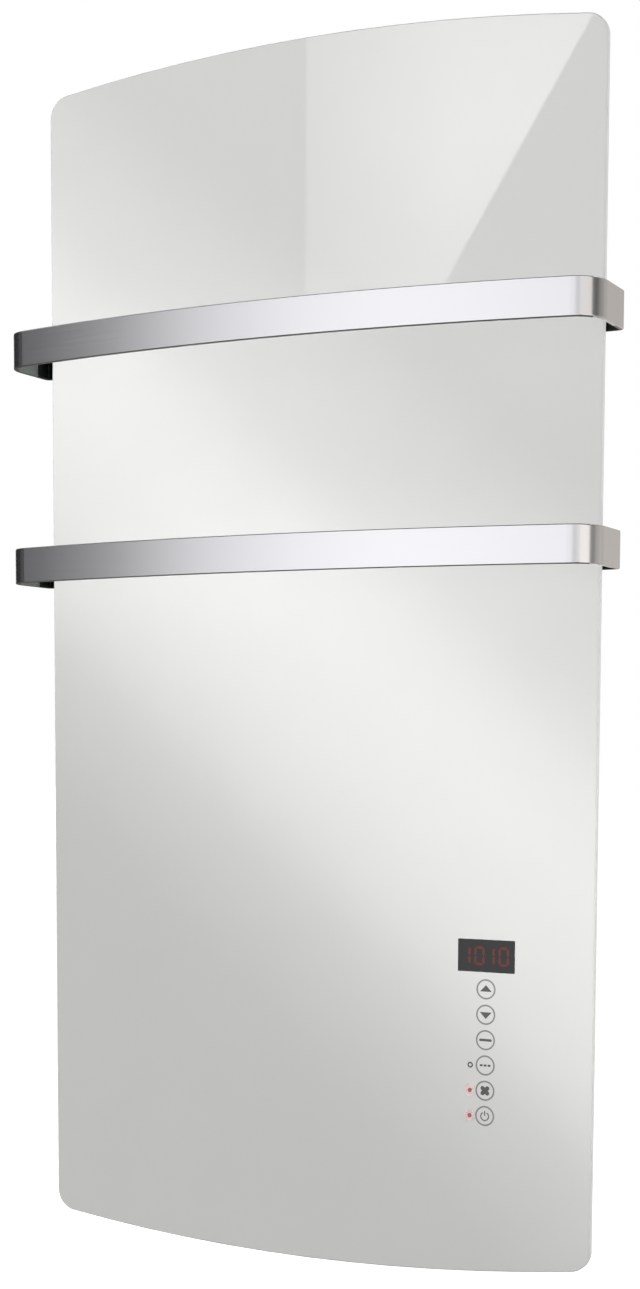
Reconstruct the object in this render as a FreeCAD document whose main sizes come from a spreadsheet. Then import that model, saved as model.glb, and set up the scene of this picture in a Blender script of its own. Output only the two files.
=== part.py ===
import FreeCAD
import Part
import Sketcher
import math
import os
from types import SimpleNamespace

# Heated towel rail in millimetres: +X to the viewer's right, +Z up, the wall in the plane Y = 0 and the
# viewer on the -Y side. The origin is the middle of the wall bracket's bolt pattern. A "depth" is a
# distance in front of the wall, and a "level" is a height above the glass's lower corners.

SIZES = {
    # Glass
    "glass_width": 500,
    "glass_edge_height": 964,
    "glass_arch_rise": 18,
    "glass_corner_radius": 18,
    "glass_thickness": 5,
    "glass_bevel": 1,
    "glass_front": 80,
    # Silicone bead behind the glass
    "bond_thickness": 2,
    "bond_width": 8,
    "bond_side_inset": 17.5,
    "bond_end_inset": 12,
    # Chassis plate
    "chassis_side_inset": 10,
    "chassis_end_inset": 27,
    "chassis_sheet": 1.5,
    "chassis_lip": 7,
    "radiant_window_height": 90,
    # Towel bars
    "bar_height": 29.5,
    "bar_thickness": 4,
    "bar_overhang": 13,
    "bar_corner_radius": 26,
    "bar_foot_radius": 5,
    "bar_reach": 80,
    "bar_bow_radius": 1250,
    "bar_foot_length": 56.5,
    "bar_edge_round": 1.2,
    "upper_bar_level": 745.5,
    "lower_bar_level": 565,
    "foot_screw_inset": 7.5,
    "foot_screw_pitch": 17,
    # Screws
    "bar_screw_radius": 2.45,
    "bar_screw_head_radius": 4.5,
    "bar_screw_head": 3,
    "bar_screw_length": 6.2,
    "case_screw_radius": 1.9,
    "case_screw_head_radius": 3.5,
    "case_screw_head": 2.2,
    "case_screw_length": 4,
    "screw_clearance": 0.25,
    "thread_clearance": 0.05,
    "plug_clearance": 0.1,
    # Rear cover
    "wall_gap": 12,
    "cover_side_inset": 50,
    "cover_end_inset": 25,
    "cover_sheet": 1,
    "cover_flange": 12,
    "cover_bend_radius": 5,
    "cover_screw_pitch": 200,
    "cover_screw_spread": 120,
    "inlet_slot_length": 140,
    "inlet_slot_width": 5,
    "inlet_slot_spread": 80,
    "inlet_slot_count": 8,
    "inlet_field_height": 84,
    "inlet_level": 142,
    # Outlet grilles
    "top_grille_length": 300,
    "fan_grille_length": 230,
    "grille_depth": 32,
    "grille_centre": 46,
    "grille_flange": 5,
    "grille_sheet": 1.5,
    "grille_clearance": 0.3,
    "grille_slot_width": 5,
    "grille_slot_margin": 4,
    "top_grille_slots": 36,
    "fan_grille_slots": 28,
    # Convector elements
    "element_upper_level": 542,
    "element_lower_level": 362,
    "element_depth": 45,
    "element_core_radius": 8,
    "element_fin_reach": 28,
    "element_fin": 2,
    "element_tip": 10,
    "element_pin_radius": 4,
    "element_pin_length": 18,
    "element_end_gap": 6,
    "bush_flange_radius": 10,
    "bush_flange": 3,
    "bush_neck_radius": 7,
    "bush_neck": 6,
    "bush_clearance": 0.1,
    "element_fin_count": 4,
    # Element brackets and reflector
    "bracket_side_gap": 39,
    "bracket_sheet": 1.2,
    "bracket_flange": 15,
    "bracket_overrun": 75,
    "bracket_rear_depth": 20,
    "bracket_screw_inset": 10,
    "reflector_sheet": 0.8,
    "reflector_lip": 5,
    "cutout_radius": 8.5,
    "cutout_height": 7,
    "cutout_blade_width": 4,
    "cutout_blade": 0.8,
    "cutout_blade_length": 6,
    # Blower
    "impeller_radius": 24,
    "impeller_inner_radius": 18,
    "impeller_disc": 2,
    "blade_count": 28,
    "blade_thickness": 0.8,
    "blade_lean": 6,
    "blade_curve_radius": 9,
    "shaft_radius": 3,
    "shaft_overrun": 2,
    "press_clearance": 0.02,
    "running_clearance": 0.05,
    "scroll_radius": 28,
    "scroll_lip": 7,
    "casing_wall": 1.5,
    "casing_side_gap": 70,
    "casing_end_gap": 2,
    "casing_rear_radius": 27,
    "duct_drop": 59,
    "tongue_offset": 15,
    "tongue_top": 21.5,
    "casing_tab_width": 13,
    "casing_tab_height": 24,
    "end_bush_radius": 6,
    "end_bush_length": 5,
    "end_bush_flange_radius": 8,
    # Shaded-pole motor
    "stator_width": 48,
    "stator_low": 22,
    "stator_high": 34,
    "stator_stack": 20,
    "rotor_radius": 12,
    "rotor_overrun": 1,
    "rotor_air_gap": 0.4,
    "coil_window_low": 17,
    "coil_window_high": 25,
    "coil_window_width": 28,
    "coil_round": 3,
    "coil_clearance": 0.3,
    "bridge_width": 14,
    "bridge_depth": 10,
    "bridge_hollow": 6,
    "bridge_hollow_width": 30,
    # Heater in the outlet of the blower
    "heater_height": 14,
    "heater_low": 42,
    "heater_rail": 3,
    "heater_fin": 0.8,
    "heater_fin_count": 30,
    "heater_clearance": 0.3,
    # Touch controls
    "control_inset": 90.4,
    "display_level": 246,
    "display_width": 48,
    "display_height": 26,
    "display_gap": 0.2,
    "key_level": 219.7,
    "key_pitch": 20.66,
    "key_count": 6,
    "pad_radius": 6.5,
    "pad_bore": 4,
    "pilot_offset": 12.75,
    "pilot_radius": 1.5,
    "pilot_count": 3,
    "board_width": 54,
    "board_top_margin": 8,
    "board_bottom_margin": 13,
    "board_thickness": 1.6,
    "board_depth": 65.4,
    "board_clearance": 0.3,
    "board_ledge": 3,
    "carrier_wall": 2,
    "carrier_hollow": 5,
    "carrier_tab": 11,
    "carrier_tab_width": 30,
    # Power electronics
    "power_side_gap": 55,
    "power_level": 222,
    "power_width": 84,
    "power_height": 96,
    "pillar_length": 10,
    "pillar_radius": 4,
    "pillar_inset": 7,
    "relay_width": 16,
    "relay_height": 29,
    "relay_thickness": 16,
    "relay_spread": 22,
    "relay_rise": 18,
    "terminal_width": 60,
    "terminal_height": 16,
    "terminal_thickness": 18,
    "terminal_drop": 28,
    "terminal_ways": 5,
    "terminal_hole_radius": 2.5,
    "terminal_hole_depth": 10,
    # Room sensor
    "sensor_side_gap": 40,
    "sensor_depth": 30,
    "sensor_neck_radius": 4,
    "sensor_flange_radius": 6.5,
    "sensor_flange": 2,
    "sensor_bulb_radius": 3,
    "sensor_bulb_length": 9,
    # Mains switch
    "switch_level": 222,
    "switch_depth": 40,
    "switch_width": 14,
    "switch_height": 27,
    "switch_bezel": 2,
    "switch_rim": 2,
    "switch_body_depth": 18,
    "switch_cavity": 7,
    "rocker_width": 10,
    "rocker_half_height": 10.4,
    "rocker_crown": 3.5,
    "rocker_dip": 2.2,
    "rocker_heel": 1.5,
    "rocker_hub": 3,
    "rocker_tilt": 9,
    "rocker_clearance": 0.3,
    "rocker_swing_room": 0.9,
    "rocker_pin_radius": 1.2,
    "rocker_pin_length": 1.2,
    # Cable gland
    "gland_side_gap": 18,
    "gland_depth": 32,
    "gland_thread_radius": 8,
    "gland_bore": 4,
    "gland_hex_radius": 11,
    "gland_hex": 5,
    "gland_cap_radius": 9,
    "gland_cap": 10,
    "gland_thread_length": 8,
    "gland_nut": 5,
    # Wall bracket and bumpers
    "mount_spacing_x": 260,
    "mount_spacing_z": 330,
    "mount_hole_radius": 3.25,
    "wall_plate_margin": 20,
    "wall_plate_sheet": 2,
    "wall_plate_rim": 42,
    "hook_spread": 110,
    "hook_width": 20,
    "hook_seat": 150,
    "hook_lip": 11,
    "hook_clearance": 0.3,
    "hook_slot_margin": 2,
    "hook_slot_height": 15,
    "bumper_radius": 9,
    "bumper_plug_radius": 4,
    "bumper_head_radius": 5.5,
    "bumper_head": 2.5,
    "bumper_side_gap": 40,
    "bumper_level": 82,
}

LEFT = 1
RIGHT = -1
HEXAGON_RISE = 0.8660254


class Size:
    """A length together with the sheet formula that gives it."""

    def __init__(self, value, formula):
        self.value = value
        self.formula = formula

    def __add__(self, other):
        other = as_size(other)
        return Size(self.value + other.value, "(%s + %s)" % (self.formula, other.formula))

    def __sub__(self, other):
        other = as_size(other)
        return Size(self.value - other.value, "(%s - %s)" % (self.formula, other.formula))

    def __mul__(self, other):
        other = as_size(other)
        return Size(self.value * other.value, "(%s * %s)" % (self.formula, other.formula))

    def __truediv__(self, other):
        other = as_size(other)
        return Size(self.value / other.value, "(%s / %s)" % (self.formula, other.formula))

    def __neg__(self):
        return Size(-self.value, "(-%s)" % self.formula)


def as_size(number):
    if isinstance(number, Size):
        return number
    return Size(float(number), repr(number))


def root(size):
    return Size(math.sqrt(size.value), "sqrt(%s)" % size.formula)


def vector(across, up):
    return FreeCAD.Vector(as_size(across).value, as_size(up).value, 0)


def bind(item, name, size):
    item.setExpression(name, as_size(size).formula)


def make_sheet(document):
    sheet = document.addObject("Spreadsheet::Sheet", "Dims")
    for row, (name, value) in enumerate(SIZES.items(), 1):
        sheet.set("A%d" % row, name)
        sheet.set("B%d" % row, str(value))
        sheet.setAlias("B%d" % row, name)
    document.recompute()
    return SimpleNamespace(**{name: Size(float(value), "Dims." + name) for name, value in SIZES.items()})


doc = FreeCAD.newDocument("towel_rail")
dim = make_sheet(doc)
nodes = []

# Shared positions
glass_back = dim.glass_front - dim.glass_thickness
chassis_front = glass_back - dim.bond_thickness
chassis_back = chassis_front - dim.chassis_sheet
chassis_half_width = dim.glass_width / 2 - dim.chassis_side_inset
chassis_half_height = dim.glass_edge_height / 2 - dim.chassis_end_inset
cover_half_width = chassis_half_width - dim.cover_side_inset
cover_half_height = chassis_half_height - dim.cover_end_inset
cover_inside = dim.wall_gap + dim.cover_sheet
bar_half_width = dim.glass_width / 2 + dim.bar_overhang
foot_end = bar_half_width - dim.bar_foot_length
control_x = dim.glass_width / 2 - dim.control_inset
bracket_x = cover_half_width - dim.bracket_side_gap
fan_depth = chassis_back - dim.scroll_radius - dim.casing_wall
fan_z = dim.duct_drop + dim.cover_sheet - cover_half_height
casing_half_length = cover_half_width - dim.casing_side_gap
impeller_length = (casing_half_length - dim.casing_end_gap) * 2
board_front = dim.board_depth + dim.board_thickness
power_x = dim.power_side_gap - cover_half_width
power_front = chassis_back - dim.pillar_length
power_back = power_front - dim.board_thickness
power_z = dim.power_level - dim.glass_edge_height / 2
gland_x = dim.gland_side_gap - cover_half_width
sensor_x = cover_half_width - dim.sensor_side_gap
bumper_x = cover_half_width - dim.bumper_side_gap
stator_left = -casing_half_length - dim.casing_wall - dim.bridge_depth - dim.stator_stack


def level_z(level):
    return level - dim.glass_edge_height / 2


control_top = level_z(dim.display_level) + dim.display_height / 2 + dim.board_top_margin
control_bottom = level_z(dim.key_level) - dim.key_pitch * (dim.key_count - 1) - dim.board_bottom_margin
element_levels = (level_z(dim.element_upper_level), level_z(dim.element_lower_level))
bar_levels = (level_z(dim.upper_bar_level), level_z(dim.lower_bar_level))
bracket_high = element_levels[0] + dim.bracket_overrun
bracket_low = element_levels[1] - dim.bracket_overrun


# Building steps
def new_body(label):
    body = doc.addObject("PartDesign::Body", label)
    body.Label = label
    nodes.append(body)
    return body


def place(body, across, depth, up):
    bind(body, "Placement.Base.x", across)
    bind(body, "Placement.Base.y", -as_size(depth))
    bind(body, "Placement.Base.z", up)


def turn(body, axis, angle):
    body.Placement = FreeCAD.Placement(FreeCAD.Vector(), FreeCAD.Rotation(axis, angle))


def origin_feature(body, role):
    return next(item for item in body.Origin.OriginFeatures if item.Role == role)


def sketch_on(body, role, offset=0):
    sketch = body.newObject("Sketcher::SketchObject", body.Name + "_sketch")
    sketch.AttachmentSupport = [(origin_feature(body, role), "")]
    sketch.MapMode = "FlatFace"
    bind(sketch, "AttachmentOffset.Base.z", offset)
    return sketch


def rule(sketch, size, *terms):
    index = sketch.addConstraint(Sketcher.Constraint(*terms, size.value))
    sketch.setExpression("Constraints[%d]" % index, size.formula)


def pin(sketch, index, point, across, up):
    rule(sketch, as_size(across), "DistanceX", -1, 1, index, point)
    rule(sketch, as_size(up), "DistanceY", -1, 1, index, point)


def arc_between(start, end, radius, side):
    half = (end - start) * 0.5
    rise = math.sqrt(max(radius ** 2 - half.Length ** 2, 0))
    normal = FreeCAD.Vector(-half.y, half.x, 0).normalize()
    centre = start + half + normal * (rise * side)
    if side == RIGHT:
        start, end = end, start
    first = math.atan2(start.y - centre.y, start.x - centre.x)
    last = math.atan2(end.y - centre.y, end.x - centre.x)
    if last <= first:
        last += 2 * math.pi
    return Part.ArcOfCircle(Part.Circle(centre, FreeCAD.Vector(0, 0, 1), radius), first, last)


def outline(sketch, corners):
    """Closed outline: each corner is (across, up), or (across, up, radius, side) where an arc leads to it."""
    count = len(corners)
    first = sketch.GeometryCount
    ends = []
    for step in range(count):
        start = vector(*corners[step][:2])
        target = corners[(step + 1) % count]
        end = vector(*target[:2])
        if len(target) == 2:
            sketch.addGeometry(Part.LineSegment(start, end))
            ends.append((1, 2))
        else:
            sketch.addGeometry(arc_between(start, end, target[2].value, target[3]))
            ends.append((1, 2) if target[3] == LEFT else (2, 1))
    for step in range(count):
        following = (step + 1) % count
        link = Sketcher.Constraint(
            "Coincident", first + step, ends[step][1], first + following, ends[following][0])
        sketch.addConstraint(link)
        pin(sketch, first + step, ends[step][0], *corners[step][:2])
        if len(corners[following]) == 4:
            rule(sketch, corners[following][2], "Radius", first + step)


def rectangle(sketch, left, right, low, high):
    outline(sketch, [(left, low), (right, low), (right, high), (left, high)])


def rounded_rectangle(sketch, half_width, half_height, radius):
    """A rectangle about the sketch's origin with its four corners rounded."""
    flat_x = half_width - radius
    flat_y = half_height - radius
    outline(sketch, [
        (-flat_x, -half_height, radius, LEFT),
        (flat_x, -half_height),
        (half_width, -flat_y, radius, LEFT),
        (half_width, flat_y),
        (flat_x, half_height, radius, LEFT),
        (-flat_x, half_height),
        (-half_width, flat_y, radius, LEFT),
        (-half_width, -flat_y),
    ])


def slot(sketch, across, up, length, width):
    """A long slot with round ends about a middle point."""
    flat = (length - width) / 2
    half = width / 2
    outline(sketch, [
        (across - flat, up - half, half, LEFT),
        (across + flat, up - half),
        (across + flat + half, up, half, LEFT),
        (across + flat, up + half, half, LEFT),
        (across - flat, up + half),
        (across - flat - half, up, half, LEFT),
    ])


def circle(sketch, across, up, radius):
    shape = Part.Circle(vector(across, up), FreeCAD.Vector(0, 0, 1), radius.value)
    index = sketch.addGeometry(shape)
    pin(sketch, index, 3, across, up)
    rule(sketch, radius, "Radius", index)


def feature(body, kind, sketch, length):
    item = body.newObject("PartDesign::" + kind, body.Name + "_" + kind)
    item.Profile = sketch
    bind(item, "Length", length)
    return item


def pad(body, sketch, length):
    return feature(body, "Pad", sketch, length)


def pocket(body, sketch, depth):
    doc.recompute()
    before = body.Shape.Volume
    item = feature(body, "Pocket", sketch, depth)
    doc.recompute()
    if body.Shape.Volume > before - 1e-6:
        raise ValueError("a pocket of %s cuts nothing" % body.Label)
    return item


def revolve(body, sketch):
    item = body.newObject("PartDesign::Revolution", body.Name + "_revolution")
    item.Profile = sketch
    item.ReferenceAxis = (sketch, ["V_Axis"])
    item.Angle = 360
    return item


def repeat_along(body, item, role, length, count):
    pattern = body.newObject("PartDesign::LinearPattern", body.Name + "_row")
    pattern.Originals = [item]
    pattern.Direction = (origin_feature(body, role), [""])
    bind(pattern, "Length", length)
    bind(pattern, "Occurrences", count)
    body.Tip = pattern


def repeat_round(body, item, role, count):
    pattern = body.newObject("PartDesign::PolarPattern", body.Name + "_ring")
    pattern.Originals = [item]
    pattern.Axis = (origin_feature(body, role), [""])
    pattern.Angle = 360
    bind(pattern, "Occurrences", count)
    body.Tip = pattern


def dress(body, kind, prop, size, chosen):
    doc.recompute()
    base = body.Tip
    names = ["Edge%d" % number for number, edge in enumerate(base.Shape.Edges, 1) if chosen(edge)]
    item = body.newObject("PartDesign::" + kind, body.Name + "_" + kind)
    item.Base = (base, names)
    bind(item, prop, size)


def runs_along(edge, axis):
    along = abs(edge.tangentAt(edge.FirstParameter).dot(axis)) > 0.999
    return along and edge.Curve.TypeId == "Part::GeomLine"


def lies_at(edge, axis, height):
    return all(abs(vertex.Point.dot(axis) - height) < 1e-4 for vertex in edge.Vertexes)


def copies(label, master, spots):
    """One node of identical pieces, each the master's shape put at one of the spots."""
    doc.recompute()
    shapes = []
    for across, depth, up, *turned in spots:
        shape = master.Shape.copy()
        spot = FreeCAD.Vector(as_size(across).value, -as_size(depth).value, as_size(up).value)
        rotation = turned[0] if turned else master.Placement.Rotation
        shape.Placement = FreeCAD.Placement(spot, rotation)
        shapes.append(shape)
    item = doc.addObject("Part::Feature", label)
    item.Label = label
    item.Shape = Part.makeCompound(shapes)
    nodes.append(item)


X_WAY = FreeCAD.Vector(1, 0, 0)
Y_WAY = FreeCAD.Vector(0, 1, 0)
Z_WAY = FreeCAD.Vector(0, 0, 1)


# Glass and its bond
def glass_panel():
    body = new_body("glass_panel")
    half_width = dim.glass_width / 2
    half_height = dim.glass_edge_height / 2
    arch = (half_width * half_width + dim.glass_arch_rise * dim.glass_arch_rise) / (dim.glass_arch_rise * 2)
    sketch = sketch_on(body, "XZ_Plane", glass_back)
    outline(sketch, [
        (-half_width, -half_height),
        (half_width, -half_height, arch, LEFT),
        (half_width, half_height),
        (-half_width, half_height, arch, LEFT),
    ])
    pad(body, sketch, dim.glass_thickness)
    dress(body, "Fillet", "Radius", dim.glass_corner_radius, lambda edge: runs_along(edge, Y_WAY))
    front = -dim.glass_front.value
    dress(body, "Chamfer", "Size", dim.glass_bevel, lambda edge: lies_at(edge, Y_WAY, front))


def glass_bond_frame():
    body = new_body("glass_bond_frame")
    side = chassis_half_width - dim.bond_side_inset
    end = chassis_half_height - dim.bond_end_inset
    half = dim.bond_width / 2
    sketch = sketch_on(body, "XZ_Plane", chassis_front)
    rectangle(sketch, -(side + half), side + half, -(end + half), end + half)
    rectangle(sketch, half - side, side - half, half - end, end - half)
    pad(body, sketch, dim.bond_thickness)


# Towel bars
def bar_line(inset):
    """Key points of the band's outer line, or of a line set in from it."""
    run = dim.bar_bow_radius - dim.bar_corner_radius
    corner_x = bar_half_width - dim.bar_corner_radius
    bow_y = dim.bar_bow_radius - dim.glass_front - dim.bar_reach
    fall = root(run * run - corner_x * corner_x)
    share = (dim.bar_bow_radius - inset) / run
    foot = dim.bar_thickness - chassis_back
    return SimpleNamespace(
        foot_line=foot - inset,
        foot_x=bar_half_width - dim.bar_foot_radius,
        leg_x=bar_half_width - inset,
        leg_back=foot - dim.bar_foot_radius,
        leg_front=bow_y - fall,
        bow_x=corner_x * share,
        bow_y=bow_y - fall * share,
        foot_radius=dim.bar_foot_radius - inset,
        corner_radius=dim.bar_corner_radius - inset,
        bow_radius=dim.bar_bow_radius - inset,
    )


def towel_bar(label, middle):
    body = new_body(label)
    outer = bar_line(0)
    inner = bar_line(dim.bar_thickness)
    sketch = sketch_on(body, "XY_Plane", middle - dim.bar_height / 2)
    outline(sketch, [
        (-foot_end, outer.foot_line),
        (-outer.foot_x, outer.foot_line),
        (-outer.leg_x, outer.leg_back, outer.foot_radius, LEFT),
        (-outer.leg_x, outer.leg_front),
        (-outer.bow_x, outer.bow_y, outer.corner_radius, LEFT),
        (outer.bow_x, outer.bow_y, outer.bow_radius, LEFT),
        (outer.leg_x, outer.leg_front, outer.corner_radius, LEFT),
        (outer.leg_x, outer.leg_back),
        (outer.foot_x, outer.foot_line, outer.foot_radius, LEFT),
        (foot_end, outer.foot_line),
        (foot_end, inner.foot_line),
        (inner.foot_x, inner.foot_line),
        (inner.leg_x, inner.leg_back, inner.foot_radius, RIGHT),
        (inner.leg_x, inner.leg_front),
        (inner.bow_x, inner.bow_y, inner.corner_radius, RIGHT),
        (-inner.bow_x, inner.bow_y, inner.bow_radius, RIGHT),
        (-inner.leg_x, inner.leg_front, inner.corner_radius, RIGHT),
        (-inner.leg_x, inner.leg_back),
        (-inner.foot_x, inner.foot_line, inner.foot_radius, RIGHT),
        (-foot_end, inner.foot_line),
    ])
    pad(body, sketch, dim.bar_height)
    holes = sketch_on(body, "XZ_Plane", chassis_back)
    for across in foot_screw_places():
        circle(holes, across, middle, dim.bar_screw_radius + dim.screw_clearance)
    pocket(body, holes, dim.bar_thickness)
    heights = [(middle + dim.bar_height * side / 2).value for side in (LEFT, RIGHT)]
    dress(body, "Fillet", "Radius", dim.bar_edge_round,
          lambda edge: any(lies_at(edge, Z_WAY, height) for height in heights))


def foot_screw_places():
    near = foot_end + dim.foot_screw_inset
    far = near + dim.foot_screw_pitch
    return (-far, -near, near, far)


# Screws: the head is towards the wall and the shank points to the viewer
def screw_master(label, radius, length, head_radius, head):
    body = new_body(label)
    nodes.remove(body)
    sketch = sketch_on(body, "XZ_Plane")
    outline(sketch, [
        (0, -length),
        (radius, -length),
        (radius, 0),
        (head_radius, 0),
        (head_radius, head / 2),
        (head_radius - head / 2, head, head / 2, LEFT),
        (0, head),
    ])
    revolve(body, sketch)
    turn(body, X_WAY, -90)
    return body


def towel_bar_screws():
    master = screw_master("bar_screw_master", dim.bar_screw_radius, dim.bar_screw_length,
                          dim.bar_screw_head_radius, dim.bar_screw_head)
    seat = chassis_back - dim.bar_thickness
    copies("towel_bar_screws", master,
           [(across, seat, middle) for middle in bar_levels for across in foot_screw_places()])


def cover_screw_spots():
    seat = chassis_back - dim.cover_sheet
    side = cover_half_width + dim.cover_flange / 2
    end = cover_half_height + dim.cover_flange / 2
    spots = [(side * way, seat, dim.cover_screw_pitch * step)
             for way in (LEFT, RIGHT) for step in (-2, -1, 0, 1, 2)]
    spots += [(dim.cover_screw_spread * way, seat, end * turned)
              for way in (LEFT, RIGHT) for turned in (LEFT, RIGHT)]
    return spots


def bracket_screw_spots():
    seat = chassis_back - dim.bracket_sheet
    across = bracket_x + dim.bracket_flange / 2
    high = bracket_high - dim.bracket_screw_inset
    low = bracket_low + dim.bracket_screw_inset
    return [(across * way, seat, up) for way in (LEFT, RIGHT) for up in (high, low)]


def casing_screw_spots():
    seat = chassis_back - dim.casing_wall
    across = casing_half_length + dim.casing_wall + dim.casing_tab_width / 2
    up = fan_z - dim.duct_drop + dim.casing_tab_height / 2
    return [(across * way, seat, up) for way in (LEFT, RIGHT)]


def carrier_screw_spots():
    seat = chassis_back - dim.carrier_wall
    beyond = dim.board_clearance + dim.carrier_wall + dim.carrier_tab / 2
    return [(control_x, seat, control_top + beyond), (control_x, seat, control_bottom - beyond)]


def case_screw_spots():
    return cover_screw_spots() + bracket_screw_spots() + casing_screw_spots() + carrier_screw_spots()


def case_screws():
    master = screw_master("case_screw_master", dim.case_screw_radius, dim.case_screw_length,
                          dim.case_screw_head_radius, dim.case_screw_head)
    copies("case_screws", master, case_screw_spots())


# Chassis plate
def carrier_hollow_edges():
    side = dim.board_width / 2 + dim.board_clearance
    return (control_x - side, control_x + side, control_bottom - dim.board_clearance,
            control_top + dim.board_clearance)


def front_chassis():
    body = new_body("front_chassis")
    plate = sketch_on(body, "XZ_Plane", chassis_back)
    rectangle(plate, -chassis_half_width, chassis_half_width, -chassis_half_height, chassis_half_height)
    pad(body, plate, dim.chassis_sheet)
    lips = sketch_on(body, "XZ_Plane", chassis_back - dim.chassis_lip)
    edge = chassis_half_height - dim.chassis_sheet
    rectangle(lips, -chassis_half_width, chassis_half_width, edge, chassis_half_height)
    rectangle(lips, -chassis_half_width, chassis_half_width, -chassis_half_height, -edge)
    pad(body, lips, dim.chassis_lip)
    windows = sketch_on(body, "XZ_Plane", chassis_front)
    rectangle(windows, *carrier_hollow_edges())
    half = dim.radiant_window_height / 2
    reach = bracket_x - dim.element_end_gap
    for middle in element_levels:
        rectangle(windows, -reach, reach, middle - half, middle + half)
    pocket(body, windows, dim.chassis_sheet)
    holes = sketch_on(body, "XZ_Plane", chassis_front)
    for across, seat, up in case_screw_spots():
        circle(holes, across, up, dim.case_screw_radius + dim.thread_clearance)
    for middle in bar_levels:
        for across in foot_screw_places():
            circle(holes, across, middle, dim.bar_screw_radius + dim.thread_clearance)
    pocket(body, holes, dim.chassis_sheet)


# Rear cover
def rear_cover():
    body = new_body("rear_cover")
    box = sketch_on(body, "XZ_Plane", dim.wall_gap)
    rectangle(box, -cover_half_width, cover_half_width, -cover_half_height, cover_half_height)
    pad(body, box, chassis_back - dim.wall_gap)
    dress(body, "Fillet", "Radius", dim.cover_bend_radius, lambda edge: runs_along(edge, Y_WAY))
    doc.recompute()
    base = body.Tip
    mouth = -chassis_back.value
    open_faces = ["Face%d" % number for number, face in enumerate(base.Shape.Faces, 1)
                  if abs(face.CenterOfMass.y - mouth) < 1e-6]
    shell = body.newObject("PartDesign::Thickness", "rear_cover_shell")
    shell.Base = (base, open_faces)
    shell.Reversed = True
    bind(shell, "Value", dim.cover_sheet)
    rim = sketch_on(body, "XZ_Plane", chassis_back - dim.cover_sheet)
    outer_x = cover_half_width + dim.cover_flange
    outer_z = cover_half_height + dim.cover_flange
    rectangle(rim, -outer_x, outer_x, -outer_z, outer_z)
    half_wall = dim.cover_sheet / 2
    rounded_rectangle(rim, cover_half_width - half_wall, cover_half_height - half_wall,
                      dim.cover_bend_radius - half_wall)
    pad(body, rim, dim.cover_sheet)
    cover_outlets(body)
    cover_rear_openings(body)
    side = sketch_on(body, "YZ_Plane", cover_half_width)
    switch_z = level_z(dim.switch_level)
    half_wide = dim.switch_width / 2 + dim.plug_clearance
    half_tall = dim.switch_height / 2 + dim.plug_clearance
    rectangle(side, -dim.switch_depth - half_wide, half_wide - dim.switch_depth,
              switch_z - half_tall, switch_z + half_tall)
    pocket(body, side, dim.cover_sheet)
    holes = sketch_on(body, "XZ_Plane", chassis_back)
    for across, seat, up in cover_screw_spots():
        circle(holes, across, up, dim.case_screw_radius + dim.screw_clearance)
    pocket(body, holes, dim.cover_sheet)


def cover_outlets(body):
    near = dim.grille_depth / 2 - dim.grille_centre
    far = -dim.grille_depth / 2 - dim.grille_centre
    top = sketch_on(body, "XY_Plane", cover_half_height)
    rectangle(top, -dim.top_grille_length / 2, dim.top_grille_length / 2, far, near)
    pocket(body, top, dim.cover_sheet)
    bottom = sketch_on(body, "XY_Plane", dim.cover_sheet - cover_half_height)
    rectangle(bottom, -dim.fan_grille_length / 2, dim.fan_grille_length / 2, far, near)
    circle(bottom, gland_x, -dim.gland_depth, dim.gland_thread_radius + dim.plug_clearance)
    circle(bottom, sensor_x, -dim.sensor_depth, dim.sensor_neck_radius + dim.plug_clearance)
    pocket(body, bottom, dim.cover_sheet)


def cover_rear_openings(body):
    rear = sketch_on(body, "XZ_Plane", cover_inside)
    half = dim.hook_width / 2 + dim.hook_slot_margin
    for way in (LEFT, RIGHT):
        middle = dim.hook_spread * way
        rectangle(rear, middle - half, middle + half, dim.hook_seat - dim.hook_slot_height, dim.hook_seat)
        circle(rear, bumper_x * way, level_z(dim.bumper_level), dim.bumper_plug_radius + dim.plug_clearance)
    pocket(body, rear, dim.cover_sheet)
    inlet = sketch_on(body, "XZ_Plane", cover_inside)
    low = level_z(dim.inlet_level)
    for way in (LEFT, RIGHT):
        middle = dim.inlet_slot_spread * way
        slot(inlet, middle, low, dim.inlet_slot_length, dim.inlet_slot_width)
    row = pocket(body, inlet, dim.cover_sheet)
    repeat_along(body, row, "Z_Axis", dim.inlet_field_height, dim.inlet_slot_count)


def outlet_grille(label, length, count):
    body = new_body(label)
    half_long = length / 2
    half_deep = dim.grille_depth / 2
    flange = sketch_on(body, "XY_Plane")
    rounded_rectangle(
        flange, half_long + dim.grille_flange, half_deep + dim.grille_flange, dim.grille_flange)
    pad(body, flange, dim.grille_sheet)
    plug = sketch_on(body, "XY_Plane", -dim.cover_sheet)
    rectangle(plug, dim.grille_clearance - half_long, half_long - dim.grille_clearance,
              dim.grille_clearance - half_deep, half_deep - dim.grille_clearance)
    pad(body, plug, dim.cover_sheet)
    cut = sketch_on(body, "XY_Plane", dim.grille_sheet)
    first = dim.grille_slot_margin - half_long
    reach = half_deep - dim.grille_slot_margin
    rectangle(cut, first, first + dim.grille_slot_width, -reach, reach)
    gap = pocket(body, cut, dim.grille_sheet + dim.cover_sheet)
    repeat_along(body, gap, "X_Axis", length - dim.grille_slot_margin * 2 - dim.grille_slot_width, count)
    return body


def outlet_grilles():
    top = outlet_grille("top_outlet_grille", dim.top_grille_length, dim.top_grille_slots)
    place(top, 0, dim.grille_centre, cover_half_height)
    bottom = outlet_grille("fan_outlet_grille", dim.fan_grille_length, dim.fan_grille_slots)
    turn(bottom, X_WAY, 180)
    place(bottom, 0, dim.grille_centre, -cover_half_height)


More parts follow.
